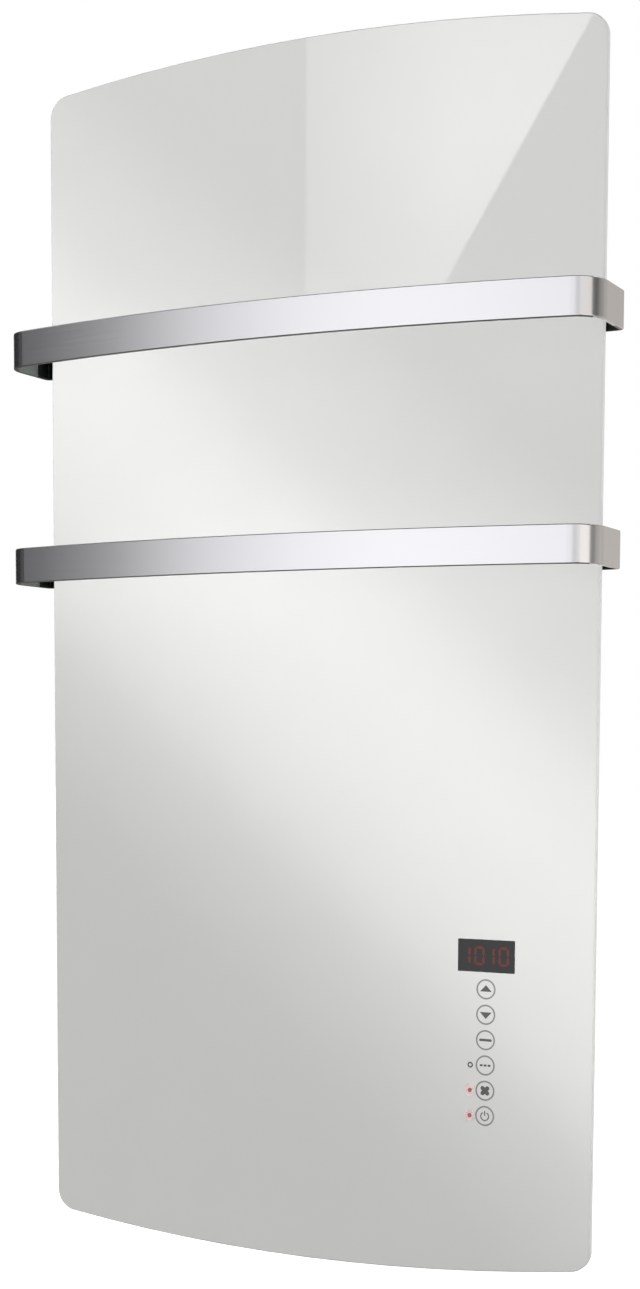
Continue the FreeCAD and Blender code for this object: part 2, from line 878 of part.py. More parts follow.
# Convector elements and what holds them
def heating_element(label, middle):
    body = new_body(label)
    half = bracket_x - dim.element_end_gap
    core = sketch_on(body, "YZ_Plane", -half)
    circle(core, 0, 0, dim.element_core_radius)
    pad(body, core, half * 2)
    fin = sketch_on(body, "YZ_Plane", -half)
    web = dim.element_fin / 2
    tip = dim.element_tip / 2
    reach = dim.element_fin_reach
    under = reach - dim.element_fin
    outline(fin, [(-web, 0), (web, 0), (web, under), (tip, under), (tip, reach), (-tip, reach), (-tip, under),
                  (-web, under)])
    wing = pad(body, fin, half * 2)
    repeat_round(body, wing, "X_Axis", dim.element_fin_count)
    pins = sketch_on(body, "YZ_Plane", -half - dim.element_pin_length)
    circle(pins, 0, 0, dim.element_pin_radius)
    pad(body, pins, (half + dim.element_pin_length) * 2)
    turn(body, X_WAY, 45)
    place(body, 0, dim.element_depth, middle)


def element_insulators():
    master = new_body("insulator_master")
    nodes.remove(master)
    sketch = sketch_on(master, "XZ_Plane")
    bore = dim.element_pin_radius + dim.bush_clearance
    outline(sketch, [
        (bore, -dim.bush_flange),
        (dim.bush_flange_radius, -dim.bush_flange),
        (dim.bush_flange_radius, 0),
        (dim.bush_neck_radius, 0),
        (dim.bush_neck_radius, dim.bush_neck),
        (bore, dim.bush_neck),
    ])
    revolve(master, sketch)
    outward = {LEFT: FreeCAD.Rotation(Y_WAY, 90), RIGHT: FreeCAD.Rotation(Y_WAY, -90)}
    copies("element_insulators", master, [(bracket_x * way, dim.element_depth, middle, outward[way])
                                          for way in (LEFT, RIGHT) for middle in element_levels])


def element_bracket(label, way):
    body = new_body(label)
    inner = bracket_x * way
    outer = (bracket_x + dim.bracket_sheet) * way
    edge = (bracket_x + dim.bracket_flange) * way
    profile = sketch_on(body, "XY_Plane", bracket_low)
    outline(profile, [
        (inner, -chassis_back),
        (edge, -chassis_back),
        (edge, dim.bracket_sheet - chassis_back),
        (outer, dim.bracket_sheet - chassis_back),
        (outer, -dim.bracket_rear_depth - dim.bracket_sheet),
        (edge, -dim.bracket_rear_depth - dim.bracket_sheet),
        (edge, -dim.bracket_rear_depth),
        (inner, -dim.bracket_rear_depth),
    ])
    pad(body, profile, bracket_high - bracket_low)
    seats = sketch_on(body, "YZ_Plane", outer if way == LEFT else inner)
    for middle in element_levels:
        circle(seats, -dim.element_depth, middle, dim.bush_neck_radius + dim.bush_clearance)
    pocket(body, seats, dim.bracket_sheet)
    holes = sketch_on(body, "XZ_Plane", chassis_back)
    for across, seat, up in bracket_screw_spots():
        if across.value * way > 0:
            circle(holes, across, up, dim.case_screw_radius + dim.screw_clearance)
    pocket(body, holes, dim.bracket_sheet)


def heat_reflector():
    body = new_body("heat_reflector")
    sheet = sketch_on(body, "XZ_Plane", dim.bracket_rear_depth - dim.reflector_sheet)
    side = bracket_x + dim.bracket_flange
    rectangle(sheet, -side, side, bracket_low, bracket_high)
    pad(body, sheet, dim.reflector_sheet)
    lips = sketch_on(body, "XZ_Plane", dim.bracket_rear_depth)
    reach = bracket_x - dim.element_end_gap
    rectangle(lips, -reach, reach, bracket_low, bracket_low + dim.reflector_sheet)
    rectangle(lips, -reach, reach, bracket_high - dim.reflector_sheet, bracket_high)
    pad(body, lips, dim.reflector_lip)


def thermal_cutout():
    body = new_body("thermal_cutout")
    can = sketch_on(body, "YZ_Plane")
    circle(can, 0, 0, dim.cutout_radius)
    pad(body, can, dim.cutout_height)
    blades = sketch_on(body, "YZ_Plane", dim.cutout_height)
    half = dim.cutout_blade_width / 2
    for way in (LEFT, RIGHT):
        middle = half * 2 * way
        rectangle(blades, -half, half, middle - dim.cutout_blade / 2, middle + dim.cutout_blade / 2)
    pad(body, blades, dim.cutout_blade_length)
    turn(body, Z_WAY, 180)
    middle = (element_levels[0] + element_levels[1]) / 2
    place(body, -bracket_x - dim.bracket_sheet, dim.element_depth, middle)


# Cross-flow blower, each piece built about the fan's own axis
def on_fan_axis(label):
    body = new_body(label)
    place(body, 0, fan_depth, fan_z)
    return body


def blower_casing():
    body = on_fan_axis("blower_casing")
    inner = dim.scroll_radius
    outer = inner + dim.casing_wall
    drop = -dim.duct_drop
    lip = dim.scroll_lip
    front = sketch_on(body, "YZ_Plane", -casing_half_length)
    outline(front, [
        (-lip, root(inner * inner - lip * lip)),
        (-inner, 0, inner, LEFT),
        (-inner, drop),
        (-outer, drop),
        (-outer, 0),
        (-lip, root(outer * outer - lip * lip), outer, RIGHT),
    ])
    pad(body, front, casing_half_length * 2)
    back = dim.tongue_offset + dim.casing_wall
    rear = dim.casing_rear_radius
    for start in (casing_half_length, -casing_half_length - dim.casing_wall):
        plate = sketch_on(body, "YZ_Plane", start)
        outline(plate, [
            (back, drop),
            (back, -root(rear * rear - back * back)),
            (rear, 0, rear, LEFT),
            (0, rear, rear, LEFT),
            (-lip, root(outer * outer - lip * lip)),
            (-outer, 0, outer, LEFT),
            (-outer, drop),
        ])
        circle(plate, 0, 0, dim.end_bush_radius + dim.bush_clearance)
        pad(body, plate, dim.casing_wall)
    tongue = sketch_on(body, "YZ_Plane", -casing_half_length)
    rectangle(tongue, dim.tongue_offset, back, drop, -dim.tongue_top)
    pad(body, tongue, casing_half_length * 2)
    tabs = sketch_on(body, "XZ_Plane", inner)
    holes_at = casing_half_length + dim.casing_wall + dim.casing_tab_width / 2
    edge = casing_half_length + dim.casing_wall + dim.casing_tab_width
    rectangle(tabs, casing_half_length, edge, drop, drop + dim.casing_tab_height)
    rectangle(tabs, -edge, -casing_half_length, drop, drop + dim.casing_tab_height)
    pad(body, tabs, dim.casing_wall)
    holes = sketch_on(body, "XZ_Plane", outer)
    for way in (LEFT, RIGHT):
        level = drop + dim.casing_tab_height / 2
        circle(holes, holes_at * way, level, dim.case_screw_radius + dim.screw_clearance)
    pocket(body, holes, dim.casing_wall)


def blower_impeller():
    body = on_fan_axis("blower_impeller")
    start = -impeller_length / 2
    bore = dim.shaft_radius + dim.press_clearance
    first = sketch_on(body, "YZ_Plane", start)
    circle(first, 0, 0, dim.impeller_radius)
    circle(first, 0, 0, bore)
    pad(body, first, dim.impeller_disc)
    blade = sketch_on(body, "YZ_Plane", start + dim.impeller_disc)
    tip_radius = dim.impeller_radius - dim.blade_thickness
    tip_x = root(tip_radius * tip_radius - dim.blade_lean * dim.blade_lean)
    outline(blade, [
        (dim.impeller_inner_radius, 0),
        (tip_x, dim.blade_lean, dim.blade_curve_radius, LEFT),
        (tip_x, dim.blade_lean + dim.blade_thickness),
        (dim.impeller_inner_radius, dim.blade_thickness, dim.blade_curve_radius, RIGHT),
    ])
    vane = pad(body, blade, impeller_length - dim.impeller_disc * 2)
    repeat_round(body, vane, "X_Axis", dim.blade_count)
    last = sketch_on(body, "YZ_Plane", -start - dim.impeller_disc)
    circle(last, 0, 0, dim.impeller_radius)
    circle(last, 0, 0, bore)
    pad(body, last, dim.impeller_disc)


def ring(body, start, length, radius, bore):
    sketch = sketch_on(body, "YZ_Plane", start)
    circle(sketch, 0, 0, radius)
    circle(sketch, 0, 0, bore)
    pad(body, sketch, length)


def blower_shaft():
    body = on_fan_axis("blower_shaft")
    left = stator_left - dim.bridge_depth - dim.shaft_overrun
    right = casing_half_length + dim.casing_wall + dim.end_bush_length
    sketch = sketch_on(body, "YZ_Plane", left)
    circle(sketch, 0, 0, dim.shaft_radius)
    pad(body, sketch, right - left)


def shaft_end_bush():
    body = on_fan_axis("shaft_end_bush")
    bore = dim.shaft_radius + dim.running_clearance
    ring(body, casing_half_length, dim.casing_wall, dim.end_bush_radius, bore)
    ring(body, casing_half_length + dim.casing_wall, dim.end_bush_length, dim.end_bush_flange_radius, bore)


def motor_stator():
    body = on_fan_axis("motor_stator")
    sketch = sketch_on(body, "YZ_Plane", stator_left)
    half = dim.stator_width / 2
    rectangle(sketch, -half, half, -dim.stator_low, dim.stator_high)
    circle(sketch, 0, 0, dim.rotor_radius + dim.rotor_air_gap)
    window = dim.coil_window_width / 2
    rectangle(sketch, -window, window, dim.coil_window_low, dim.coil_window_high)
    pad(body, sketch, dim.stator_stack)


def motor_coil():
    body = on_fan_axis("motor_coil")
    reach = dim.coil_window_width / 2 - dim.coil_clearance
    build = dim.coil_window_high - dim.coil_window_low - dim.coil_clearance * 2
    bore_left = stator_left - dim.coil_clearance
    bore_right = stator_left + dim.stator_stack + dim.coil_clearance
    bore_low = dim.coil_window_high - dim.coil_clearance
    bore_high = dim.stator_high + dim.coil_clearance
    sketch = sketch_on(body, "XZ_Plane", -reach)
    rectangle(sketch, bore_left - build, bore_right + build, bore_low - build, bore_high + build)
    rectangle(sketch, bore_left, bore_right, bore_low, bore_high)
    pad(body, sketch, reach * 2)
    dress(body, "Fillet", "Radius", dim.coil_round,
          lambda edge: runs_along(edge, Y_WAY) and not (
              bore_left.value - 1e-3 < edge.Vertexes[0].X < bore_right.value + 1e-3))


def motor_rotor():
    body = on_fan_axis("motor_rotor")
    ring(body, stator_left - dim.rotor_overrun, dim.stator_stack + dim.rotor_overrun * 2, dim.rotor_radius,
         dim.shaft_radius + dim.press_clearance)


def motor_bridge(label, start, hollow_end):
    body = on_fan_axis(label)
    half_wide = dim.stator_width / 2
    half_tall = dim.bridge_width / 2
    sketch = sketch_on(body, "YZ_Plane", start)
    rectangle(sketch, -half_wide, half_wide, -half_tall, half_tall)
    circle(sketch, 0, 0, dim.shaft_radius + dim.running_clearance)
    pad(body, sketch, dim.bridge_depth)
    hollow = sketch_on(body, "YZ_Plane", hollow_end)
    reach = dim.bridge_hollow_width / 2
    rectangle(hollow, -reach, reach, -half_tall, half_tall)
    pocket(body, hollow, dim.bridge_hollow)


def blower_heater():
    body = on_fan_axis("blower_heater")
    front = dim.heater_clearance - dim.scroll_radius
    rear = dim.tongue_offset - dim.heater_clearance
    inside = casing_half_length - dim.heater_rail
    frame = sketch_on(body, "XY_Plane", -dim.heater_low)
    rectangle(frame, -casing_half_length, casing_half_length, front, rear)
    rectangle(frame, -inside, inside, front + dim.heater_rail, rear - dim.heater_rail)
    pad(body, frame, dim.heater_height)
    pitch = inside * 2 / (dim.heater_fin_count + 1)
    fins = sketch_on(body, "XY_Plane", -dim.heater_low)
    start = pitch - inside
    rectangle(fins, start, start + dim.heater_fin, front + dim.heater_rail, rear - dim.heater_rail)
    fin = pad(body, fins, dim.heater_height)
    repeat_along(body, fin, "X_Axis", pitch * (dim.heater_fin_count - 1), dim.heater_fin_count)


# Touch controls behind the glass
def control_carrier():
    body = new_body("control_carrier")
    left, right, low, high = carrier_hollow_edges()
    wall = dim.carrier_wall
    tray = sketch_on(body, "XZ_Plane", dim.board_depth - dim.carrier_hollow - wall)
    rectangle(tray, left - wall, right + wall, low - wall, high + wall)
    pad(body, tray, chassis_back - dim.board_depth + dim.carrier_hollow + wall)
    tabs = sketch_on(body, "XZ_Plane", chassis_back - wall)
    half = dim.carrier_tab_width / 2
    rectangle(tabs, control_x - half, control_x + half, high, high + wall + dim.carrier_tab)
    rectangle(tabs, control_x - half, control_x + half, low - wall - dim.carrier_tab, low)
    pad(body, tabs, wall)
    mouth = sketch_on(body, "XZ_Plane", chassis_back)
    rectangle(mouth, left, right, low, high)
    pocket(body, mouth, chassis_back - dim.board_depth)
    well = sketch_on(body, "XZ_Plane", dim.board_depth)
    ledge = dim.board_ledge
    rectangle(well, left + ledge, right - ledge, low + ledge, high - ledge)
    pocket(body, well, dim.carrier_hollow)
    holes = sketch_on(body, "XZ_Plane", chassis_back)
    for across, seat, up in carrier_screw_spots():
        circle(holes, across, up, dim.case_screw_radius + dim.screw_clearance)
    pocket(body, holes, wall)


def touch_board():
    body = new_body("touch_board")
    half = dim.board_width / 2
    sketch = sketch_on(body, "XZ_Plane", dim.board_depth)
    rectangle(sketch, control_x - half, control_x + half, control_bottom, control_top)
    pad(body, sketch, dim.board_thickness)


def display_module():
    body = new_body("display_module")
    half_wide = dim.display_width / 2
    half_tall = dim.display_height / 2
    middle = level_z(dim.display_level)
    sketch = sketch_on(body, "XZ_Plane", board_front)
    rectangle(sketch, control_x - half_wide, control_x + half_wide, middle - half_tall, middle + half_tall)
    pad(body, sketch, glass_back - dim.display_gap - board_front)


def column(label, radius, length, bore=None):
    """A round master piece that stands along the depth."""
    master = new_body(label)
    nodes.remove(master)
    sketch = sketch_on(master, "XZ_Plane")
    circle(sketch, 0, 0, radius)
    if bore:
        circle(sketch, 0, 0, bore)
    pad(master, sketch, length)
    return master


def key_z(number):
    return level_z(dim.key_level) - dim.key_pitch * number


def touch_pads():
    master = column("pad_master", dim.pad_radius, glass_back - board_front, dim.pad_bore)
    spots = [(control_x, board_front, key_z(number)) for number in range(SIZES["key_count"])]
    copies("touch_pads", master, spots)


def pilot_lamps():
    master = column("lamp_master", dim.pilot_radius, glass_back - dim.display_gap - board_front)
    last = SIZES["key_count"]
    copies("pilot_lamps", master, [(control_x - dim.pilot_offset, board_front, key_z(number))
                                   for number in range(last - SIZES["pilot_count"], last)])


# Power electronics on the back of the chassis
def power_board():
    body = new_body("power_board")
    half_wide = dim.power_width / 2
    half_tall = dim.power_height / 2
    sketch = sketch_on(body, "XZ_Plane", power_back)
    rectangle(sketch, power_x - half_wide, power_x + half_wide, power_z - half_tall, power_z + half_tall)
    pad(body, sketch, dim.board_thickness)


def board_pillars():
    master = column("pillar_master", dim.pillar_radius, dim.pillar_length)
    side = dim.power_width / 2 - dim.pillar_inset
    end = dim.power_height / 2 - dim.pillar_inset
    copies("board_pillars", master, [(power_x + side * way, power_front, power_z + end * turned)
                                     for way in (LEFT, RIGHT) for turned in (LEFT, RIGHT)])


def power_relays():
    master = new_body("relay_master")
    nodes.remove(master)
    sketch = sketch_on(master, "XZ_Plane")
    half_wide = dim.relay_width / 2
    half_tall = dim.relay_height / 2
    rectangle(sketch, -half_wide, half_wide, -half_tall, half_tall)
    pad(master, sketch, dim.relay_thickness)
    copies("power_relays", master, [(power_x + dim.relay_spread * way, power_back - dim.relay_thickness,
                                     power_z + dim.relay_rise) for way in (LEFT, RIGHT)])


def terminal_block():
    body = new_body("terminal_block")
    half_wide = dim.terminal_width / 2
    half_tall = dim.terminal_height / 2
    middle = power_z - dim.terminal_drop
    sketch = sketch_on(body, "XZ_Plane", power_back - dim.terminal_thickness)
    rectangle(sketch, power_x - half_wide, power_x + half_wide, middle - half_tall, middle + half_tall)
    pad(body, sketch, dim.terminal_thickness)
    pitch = dim.terminal_width / dim.terminal_ways
    hole = sketch_on(body, "XZ_Plane", power_back - dim.terminal_thickness + dim.terminal_hole_depth)
    circle(hole, power_x - half_wide + pitch / 2, middle, dim.terminal_hole_radius)
    way = pocket(body, hole, dim.terminal_hole_depth)
    repeat_along(body, way, "X_Axis", pitch * (dim.terminal_ways - 1), dim.terminal_ways)


def room_sensor():
    body = new_body("room_sensor")
    under = -dim.cover_sheet - dim.sensor_flange
    bulb = under - dim.sensor_bulb_length
    sketch = sketch_on(body, "XZ_Plane")
    outline(sketch, [
        (0, bulb - dim.sensor_bulb_radius),
        (dim.sensor_bulb_radius, bulb, dim.sensor_bulb_radius, LEFT),
        (dim.sensor_bulb_radius, under),
        (dim.sensor_flange_radius, under),
        (dim.sensor_flange_radius, -dim.cover_sheet),
        (dim.sensor_neck_radius, -dim.cover_sheet),
        (dim.sensor_neck_radius, 0),
        (dim.sensor_flange_radius, 0),
        (dim.sensor_flange_radius, dim.sensor_flange),
        (0, dim.sensor_flange),
    ])
    revolve(body, sketch)
    place(body, sensor_x, dim.sensor_depth, dim.cover_sheet - cover_half_height)


# Mains switch in the cover's right side
def switch_housing():
    body = new_body("switch_housing")
    half_wide = dim.switch_width / 2
    half_tall = dim.switch_height / 2
    rim = dim.switch_rim
    bezel = sketch_on(body, "YZ_Plane")
    rounded_rectangle(bezel, half_wide + rim, half_tall + rim, rim)
    pad(body, bezel, dim.switch_bezel)
    case = sketch_on(body, "YZ_Plane", -dim.switch_body_depth)
    rectangle(case, -half_wide, half_wide, -half_tall, half_tall)
    pad(body, case, dim.switch_body_depth)
    mouth = sketch_on(body, "YZ_Plane", dim.switch_bezel)
    side = dim.rocker_width / 2 + dim.rocker_clearance
    end = dim.rocker_half_height + dim.rocker_swing_room
    rectangle(mouth, -side, side, -end, end)
    pocket(body, mouth, dim.switch_bezel + dim.switch_cavity)
    bearing = sketch_on(body, "XZ_Plane", side + dim.rocker_pin_length)
    circle(bearing, 0, 0, dim.rocker_pin_radius + dim.running_clearance)
    pocket(body, bearing, (side + dim.rocker_pin_length) * 2)
    place(body, cover_half_width, dim.switch_depth, level_z(dim.switch_level))


def switch_rocker():
    body = new_body("switch_rocker")
    half = dim.rocker_half_height
    profile = sketch_on(body, "XZ_Plane", -dim.rocker_width / 2)
    outline(profile, [
        (-dim.rocker_heel, -half),
        (dim.rocker_crown, -half),
        (dim.rocker_dip, 0),
        (dim.rocker_crown, half),
        (-dim.rocker_heel, half),
        (-dim.rocker_hub, dim.rocker_hub),
        (-dim.rocker_hub, -dim.rocker_hub),
    ])
    pad(body, profile, dim.rocker_width)
    reach = dim.rocker_width / 2 + dim.rocker_pin_length
    pins = sketch_on(body, "XZ_Plane", -reach)
    circle(pins, 0, 0, dim.rocker_pin_radius)
    pad(body, pins, reach * 2)
    turn(body, Y_WAY, -SIZES["rocker_tilt"])
    place(body, cover_half_width, dim.switch_depth, level_z(dim.switch_level))


# Cable gland in the cover's floor
def hexagon(sketch, radius):
    rise = radius * HEXAGON_RISE
    outline(sketch, [(radius, 0), (radius / 2, rise), (-radius / 2, rise), (-radius, 0), (-radius / 2, -rise),
                     (radius / 2, -rise)])


def cable_gland():
    body = new_body("cable_gland")
    flats = sketch_on(body, "XY_Plane", -dim.gland_hex)
    hexagon(flats, dim.gland_hex_radius)
    circle(flats, 0, 0, dim.gland_bore)
    pad(body, flats, dim.gland_hex)
    thread = sketch_on(body, "XY_Plane")
    circle(thread, 0, 0, dim.gland_thread_radius)
    circle(thread, 0, 0, dim.gland_bore)
    pad(body, thread, dim.cover_sheet + dim.gland_thread_length)
    cap = sketch_on(body, "XY_Plane", -dim.gland_hex - dim.gland_cap)
    circle(cap, 0, 0, dim.gland_cap_radius)
    circle(cap, 0, 0, dim.gland_bore)
    pad(body, cap, dim.gland_cap)
    place(body, gland_x, dim.gland_depth, -cover_half_height)


def gland_nut():
    body = new_body("gland_nut")
    flats = sketch_on(body, "XY_Plane", dim.cover_sheet)
    hexagon(flats, dim.gland_hex_radius)
    circle(flats, 0, 0, dim.gland_thread_radius + dim.thread_clearance)
    pad(body, flats, dim.gland_nut)
    place(body, gland_x, dim.gland_depth, -cover_half_height)


# Wall bracket and the bumpers that keep the lower end off the wall
def wall_bracket():
    body = new_body("wall_bracket")
    sheet = dim.wall_plate_sheet
    half_wide = dim.mount_spacing_x / 2 + dim.wall_plate_margin
    half_tall = dim.mount_spacing_z / 2 + dim.wall_plate_margin
    plate = sketch_on(body, "XZ_Plane")
    rectangle(plate, -half_wide, half_wide, -half_tall, half_tall)
    rim = dim.wall_plate_rim
    rounded_rectangle(plate, half_wide - rim, half_tall - rim, dim.wall_plate_margin)
    pad(body, plate, sheet)
    flanges = sketch_on(body, "XZ_Plane", sheet)
    rectangle(flanges, -half_wide, sheet - half_wide, -half_tall, half_tall)
    rectangle(flanges, half_wide - sheet, half_wide, -half_tall, half_tall)
    pad(body, flanges, dim.wall_gap - sheet)
    lip_depth = cover_inside + dim.hook_clearance
    arms = sketch_on(body, "XZ_Plane", sheet)
    lips = sketch_on(body, "XZ_Plane", lip_depth)
    for way in (LEFT, RIGHT):
        near = dim.hook_spread * way - dim.hook_width / 2
        far = dim.hook_spread * way + dim.hook_width / 2
        rectangle(arms, near, far, dim.hook_seat - sheet, dim.hook_seat)
        rectangle(lips, near, far, dim.hook_seat - sheet, dim.hook_seat + dim.hook_lip)
    pad(body, arms, lip_depth)
    pad(body, lips, sheet)
    holes = sketch_on(body, "XZ_Plane", sheet)
    for way in (LEFT, RIGHT):
        for turned in (LEFT, RIGHT):
            across = dim.mount_spacing_x * way / 2
            circle(holes, across, dim.mount_spacing_z * turned / 2, dim.mount_hole_radius)
    pocket(body, holes, sheet)


def wall_bumpers():
    master = new_body("bumper_master")
    nodes.remove(master)
    sketch = sketch_on(master, "XZ_Plane")
    neck_end = dim.wall_gap + dim.cover_sheet
    outline(sketch, [
        (0, 0),
        (dim.bumper_radius, 0),
        (dim.bumper_radius, dim.wall_gap),
        (dim.bumper_plug_radius, dim.wall_gap),
        (dim.bumper_plug_radius, neck_end),
        (dim.bumper_head_radius, neck_end),
        (dim.bumper_head_radius, neck_end + dim.bumper_head),
        (0, neck_end + dim.bumper_head),
    ])
    revolve(master, sketch)
    turn(master, X_WAY, 90)
    spots = [(bumper_x * way, 0, level_z(dim.bumper_level)) for way in (LEFT, RIGHT)]
    copies("wall_bumpers", master, spots)


glass_panel()
glass_bond_frame()
towel_bar("towel_bar_upper", bar_levels[0])
towel_bar("towel_bar_lower", bar_levels[1])
towel_bar_screws()
case_screws()
front_chassis()
rear_cover()
outlet_grilles()
heating_element("heating_element_upper", element_levels[0])
heating_element("heating_element_lower", element_levels[1])
element_insulators()
element_bracket("element_bracket_right", LEFT)
element_bracket("element_bracket_left", RIGHT)
heat_reflector()
thermal_cutout()
blower_casing()
blower_impeller()
blower_shaft()
shaft_end_bush()
motor_stator()
motor_coil()
motor_rotor()
stator_right = stator_left + dim.stator_stack
motor_bridge("motor_bridge_right", stator_right, stator_right + dim.bridge_hollow)
motor_bridge("motor_bridge_left", stator_left - dim.bridge_depth, stator_left)
blower_heater()
control_carrier()
touch_board()
display_module()
touch_pads()
pilot_lamps()
power_board()
board_pillars()
power_relays()
terminal_block()
room_sensor()
switch_housing()
switch_rocker()
cable_gland()
gland_nut()
wall_bracket()
wall_bumpers()

doc.recompute()
faulty = [item.Label for item in doc.Objects if {"Invalid", "Error"} & set(item.State)]
for node in nodes:
    if node.Shape.isNull() or not node.Shape.isValid():
        faulty.append(node.Label)
if faulty:
    raise ValueError("not built: " + ", ".join(faulty))

os.makedirs("parts", exist_ok=True)
for node in nodes:
    node.Shape.exportStep("parts/%s.step" % node.Label)
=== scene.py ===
import math

import bpy
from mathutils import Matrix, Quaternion, Vector


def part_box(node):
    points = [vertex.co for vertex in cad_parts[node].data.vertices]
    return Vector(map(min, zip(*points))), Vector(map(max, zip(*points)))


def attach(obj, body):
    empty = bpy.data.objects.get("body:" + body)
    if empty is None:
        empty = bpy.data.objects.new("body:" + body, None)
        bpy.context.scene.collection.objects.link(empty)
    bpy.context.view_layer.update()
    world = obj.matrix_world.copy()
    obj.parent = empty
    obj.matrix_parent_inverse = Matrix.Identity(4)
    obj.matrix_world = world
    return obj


bl_info = {
    "name": "Heated towel rail",
    "version": (1, 0, 0),
    "blender": (4, 5, 0),
    "location": "View3D > Sidebar > Towel rail",
    "description": "Prints, finishes and studio of a glass-fronted heated towel rail",
    "category": "Object",
}

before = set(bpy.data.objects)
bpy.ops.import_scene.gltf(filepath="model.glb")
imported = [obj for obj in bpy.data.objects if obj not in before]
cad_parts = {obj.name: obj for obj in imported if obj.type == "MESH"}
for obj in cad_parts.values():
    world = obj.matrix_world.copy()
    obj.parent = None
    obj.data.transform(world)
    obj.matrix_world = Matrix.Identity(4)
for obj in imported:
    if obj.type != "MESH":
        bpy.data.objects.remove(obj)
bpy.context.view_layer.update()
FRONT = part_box("glass_panel")[0].y
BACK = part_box("glass_panel")[1].y
HALF_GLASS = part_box("glass_panel")[1].x
TOP_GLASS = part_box("glass_panel")[1].z
# How far the arched ends of the glass rise above its corners, and how deep its polished bevel goes.
ARCH_RISE = 0.018
BEVEL = 0.0011
# How far a print sinks into the glass face, so that it never floats in front of it.
SEAT = 0.00002
PRINTS = ("display_window", "display_digits", "key_rings", "key_symbols", "pilot_ring", "pilot_halos", "pilot_dots")
# The touch keys, counted from the highest.
UP_KEY, DOWN_KEY, BAR_KEY, ROW_KEY, FAN_KEY, POWER_KEY = range(6)
MILLIMETRE = 0.001
# A wave's lines lie 0.314 apart at scale 1, so a size times this is drawn at twice its true size.
COARSE_WAVE = 6.28
WHITE = (1.0, 1.0, 1.0)
# Turns a flat shape that was laid on the floor to face the viewer.
UPRIGHT = (math.pi / 2, 0.0, 0.0)


def linear(code):
    """Turn an sRGB hex colour into the linear values that shaders take."""
    shares = [int(code[at:at + 2], 16) / 255 for at in (0, 2, 4)]
    return tuple(s / 12.92 if s <= 0.04045 else ((s + 0.055) / 1.055) ** 2.4 for s in shares)


def measure(label, words, default, unit="LENGTH", least=0.0):
    """Describe a size, a place, a strength or a power that a user may change."""
    return bpy.props.FloatProperty(name=label, description=words, default=default, min=least, precision=5, unit=unit)


def colour(label, words, code):
    """Describe a colour that a user may change."""
    return bpy.props.FloatVectorProperty(name=label, description=words, default=linear(code), size=3, min=0.0,
                                         max=1.0, subtype="COLOR")


class RailPrints(bpy.types.PropertyGroup):
    """Sizes of what is printed on the glass"""
    column: measure("Column", "Middle of the control column, right of the middle of the glass", 0.1597, least=-1.0)
    window_level: measure("Window level", "Middle of the display window above the middle of the glass", -0.2354,
                          least=-1.0)
    window_width: measure("Window width", "Width of the dark display window", 0.0488)
    window_height: measure("Window height", "Height of the dark display window", 0.0263)
    window_corner: measure("Window corner", "Radius of the display window's corners", 0.0005)
    digit_height: measure("Digit height", "Height of a lit digit between its outer bars' middles", 0.0135)
    digit_width: measure("Digit width", "Width of a lit digit between its side bars' middles", 0.007)
    digit_pitch: measure("Digit pitch", "Distance from one digit to the next", 0.0104)
    digit_stroke: measure("Digit stroke", "Width of one lit bar", 0.0022)
    key_level: measure("Key level", "Middle of the highest key above the middle of the glass", -0.26225, least=-1.0)
    key_pitch: measure("Key pitch", "Distance from one key to the next", 0.02055)
    key_radius: measure("Key radius", "Outer radius of a key's ring", 0.0082)
    key_stroke: measure("Key stroke", "Width of a key's ring", 0.0013)
    pilot_shift: measure("Pilot shift", "Distance of the pilot dots from the keys' middles", 0.0129)
    pilot_radius: measure("Pilot radius", "Radius of a lit pilot dot", 0.0018)
    pilot_ring: measure("Pilot ring", "Outer radius of the unlit pilot's ring", 0.0024)
    pilot_halo: measure("Pilot halo", "Radius of the glow around a lit pilot", 0.0066)
    ink: measure("Ink", "Thickness of the printed ink", 0.00006)


class RailColours(bpy.types.PropertyGroup):
    """Colours of the finishes"""
    paint: colour("Paint", "Pale paint behind the glass", "CFCFCE")
    rim: colour("Rim", "Clear rim where the paint stops short of the edge", "C8C9C7")
    edge: colour("Edge", "Ground edge of the glass", "E2E4E2")
    steel: colour("Steel", "Satin steel of the towel bars", "DCDBDF")
    enamel: colour("Enamel", "Powder coat of the case and the wall bracket", "E2E2DF")
    grille: colour("Grille", "Powder coat of the outlet grilles", "7E8183")
    window: colour("Window", "Smoked film of the display window", "0E0E0D")
    segment: colour("Segment", "Lit bars of the display", "551517")
    ring: colour("Ring", "Ink of the keys' rings", "7C7C79")
    symbol: colour("Symbol", "Ink of the keys' symbols", "4C4C4A")
    pilot: colour("Pilot", "Lit pilot dots", "86585A")
    halo: colour("Halo", "Glow around a lit pilot", "DEB5B8")


class RailStudio(bpy.types.PropertyGroup):
    """Camera and light"""
    lens: measure("Lens", "Focal length for the photograph's view", 56.75, "CAMERA")
    ambient: measure("Ambient", "Strength of the even light from all round", 0.14, "NONE")
    key: measure("Key", "Power of the soft lamp in front", 34.0, "POWER")
    back: measure("Back", "Power of the soft lamp behind", 54.0, "POWER")
    side: measure("Side", "Power of the soft lamp at each side", 24.0, "POWER")
    band: measure("Band", "Power of the spot that grades the glass", 318.0, "POWER")


def feed(node, inputs):
    """Set a node's inputs, by name or in their order: to a value, a colour, or the node or output that feeds it."""
    for name, value in inputs.items() if isinstance(inputs, dict) else enumerate(inputs):
        socket = node.inputs[name]
        if isinstance(value, bpy.types.Node):
            value = next(output for output in value.outputs if output.enabled)
        if isinstance(value, bpy.types.NodeSocket):
            node.id_data.links.new(value, socket)
        else:
            socket.default_value = (*value, 1.0) if socket.type == "RGBA" else value


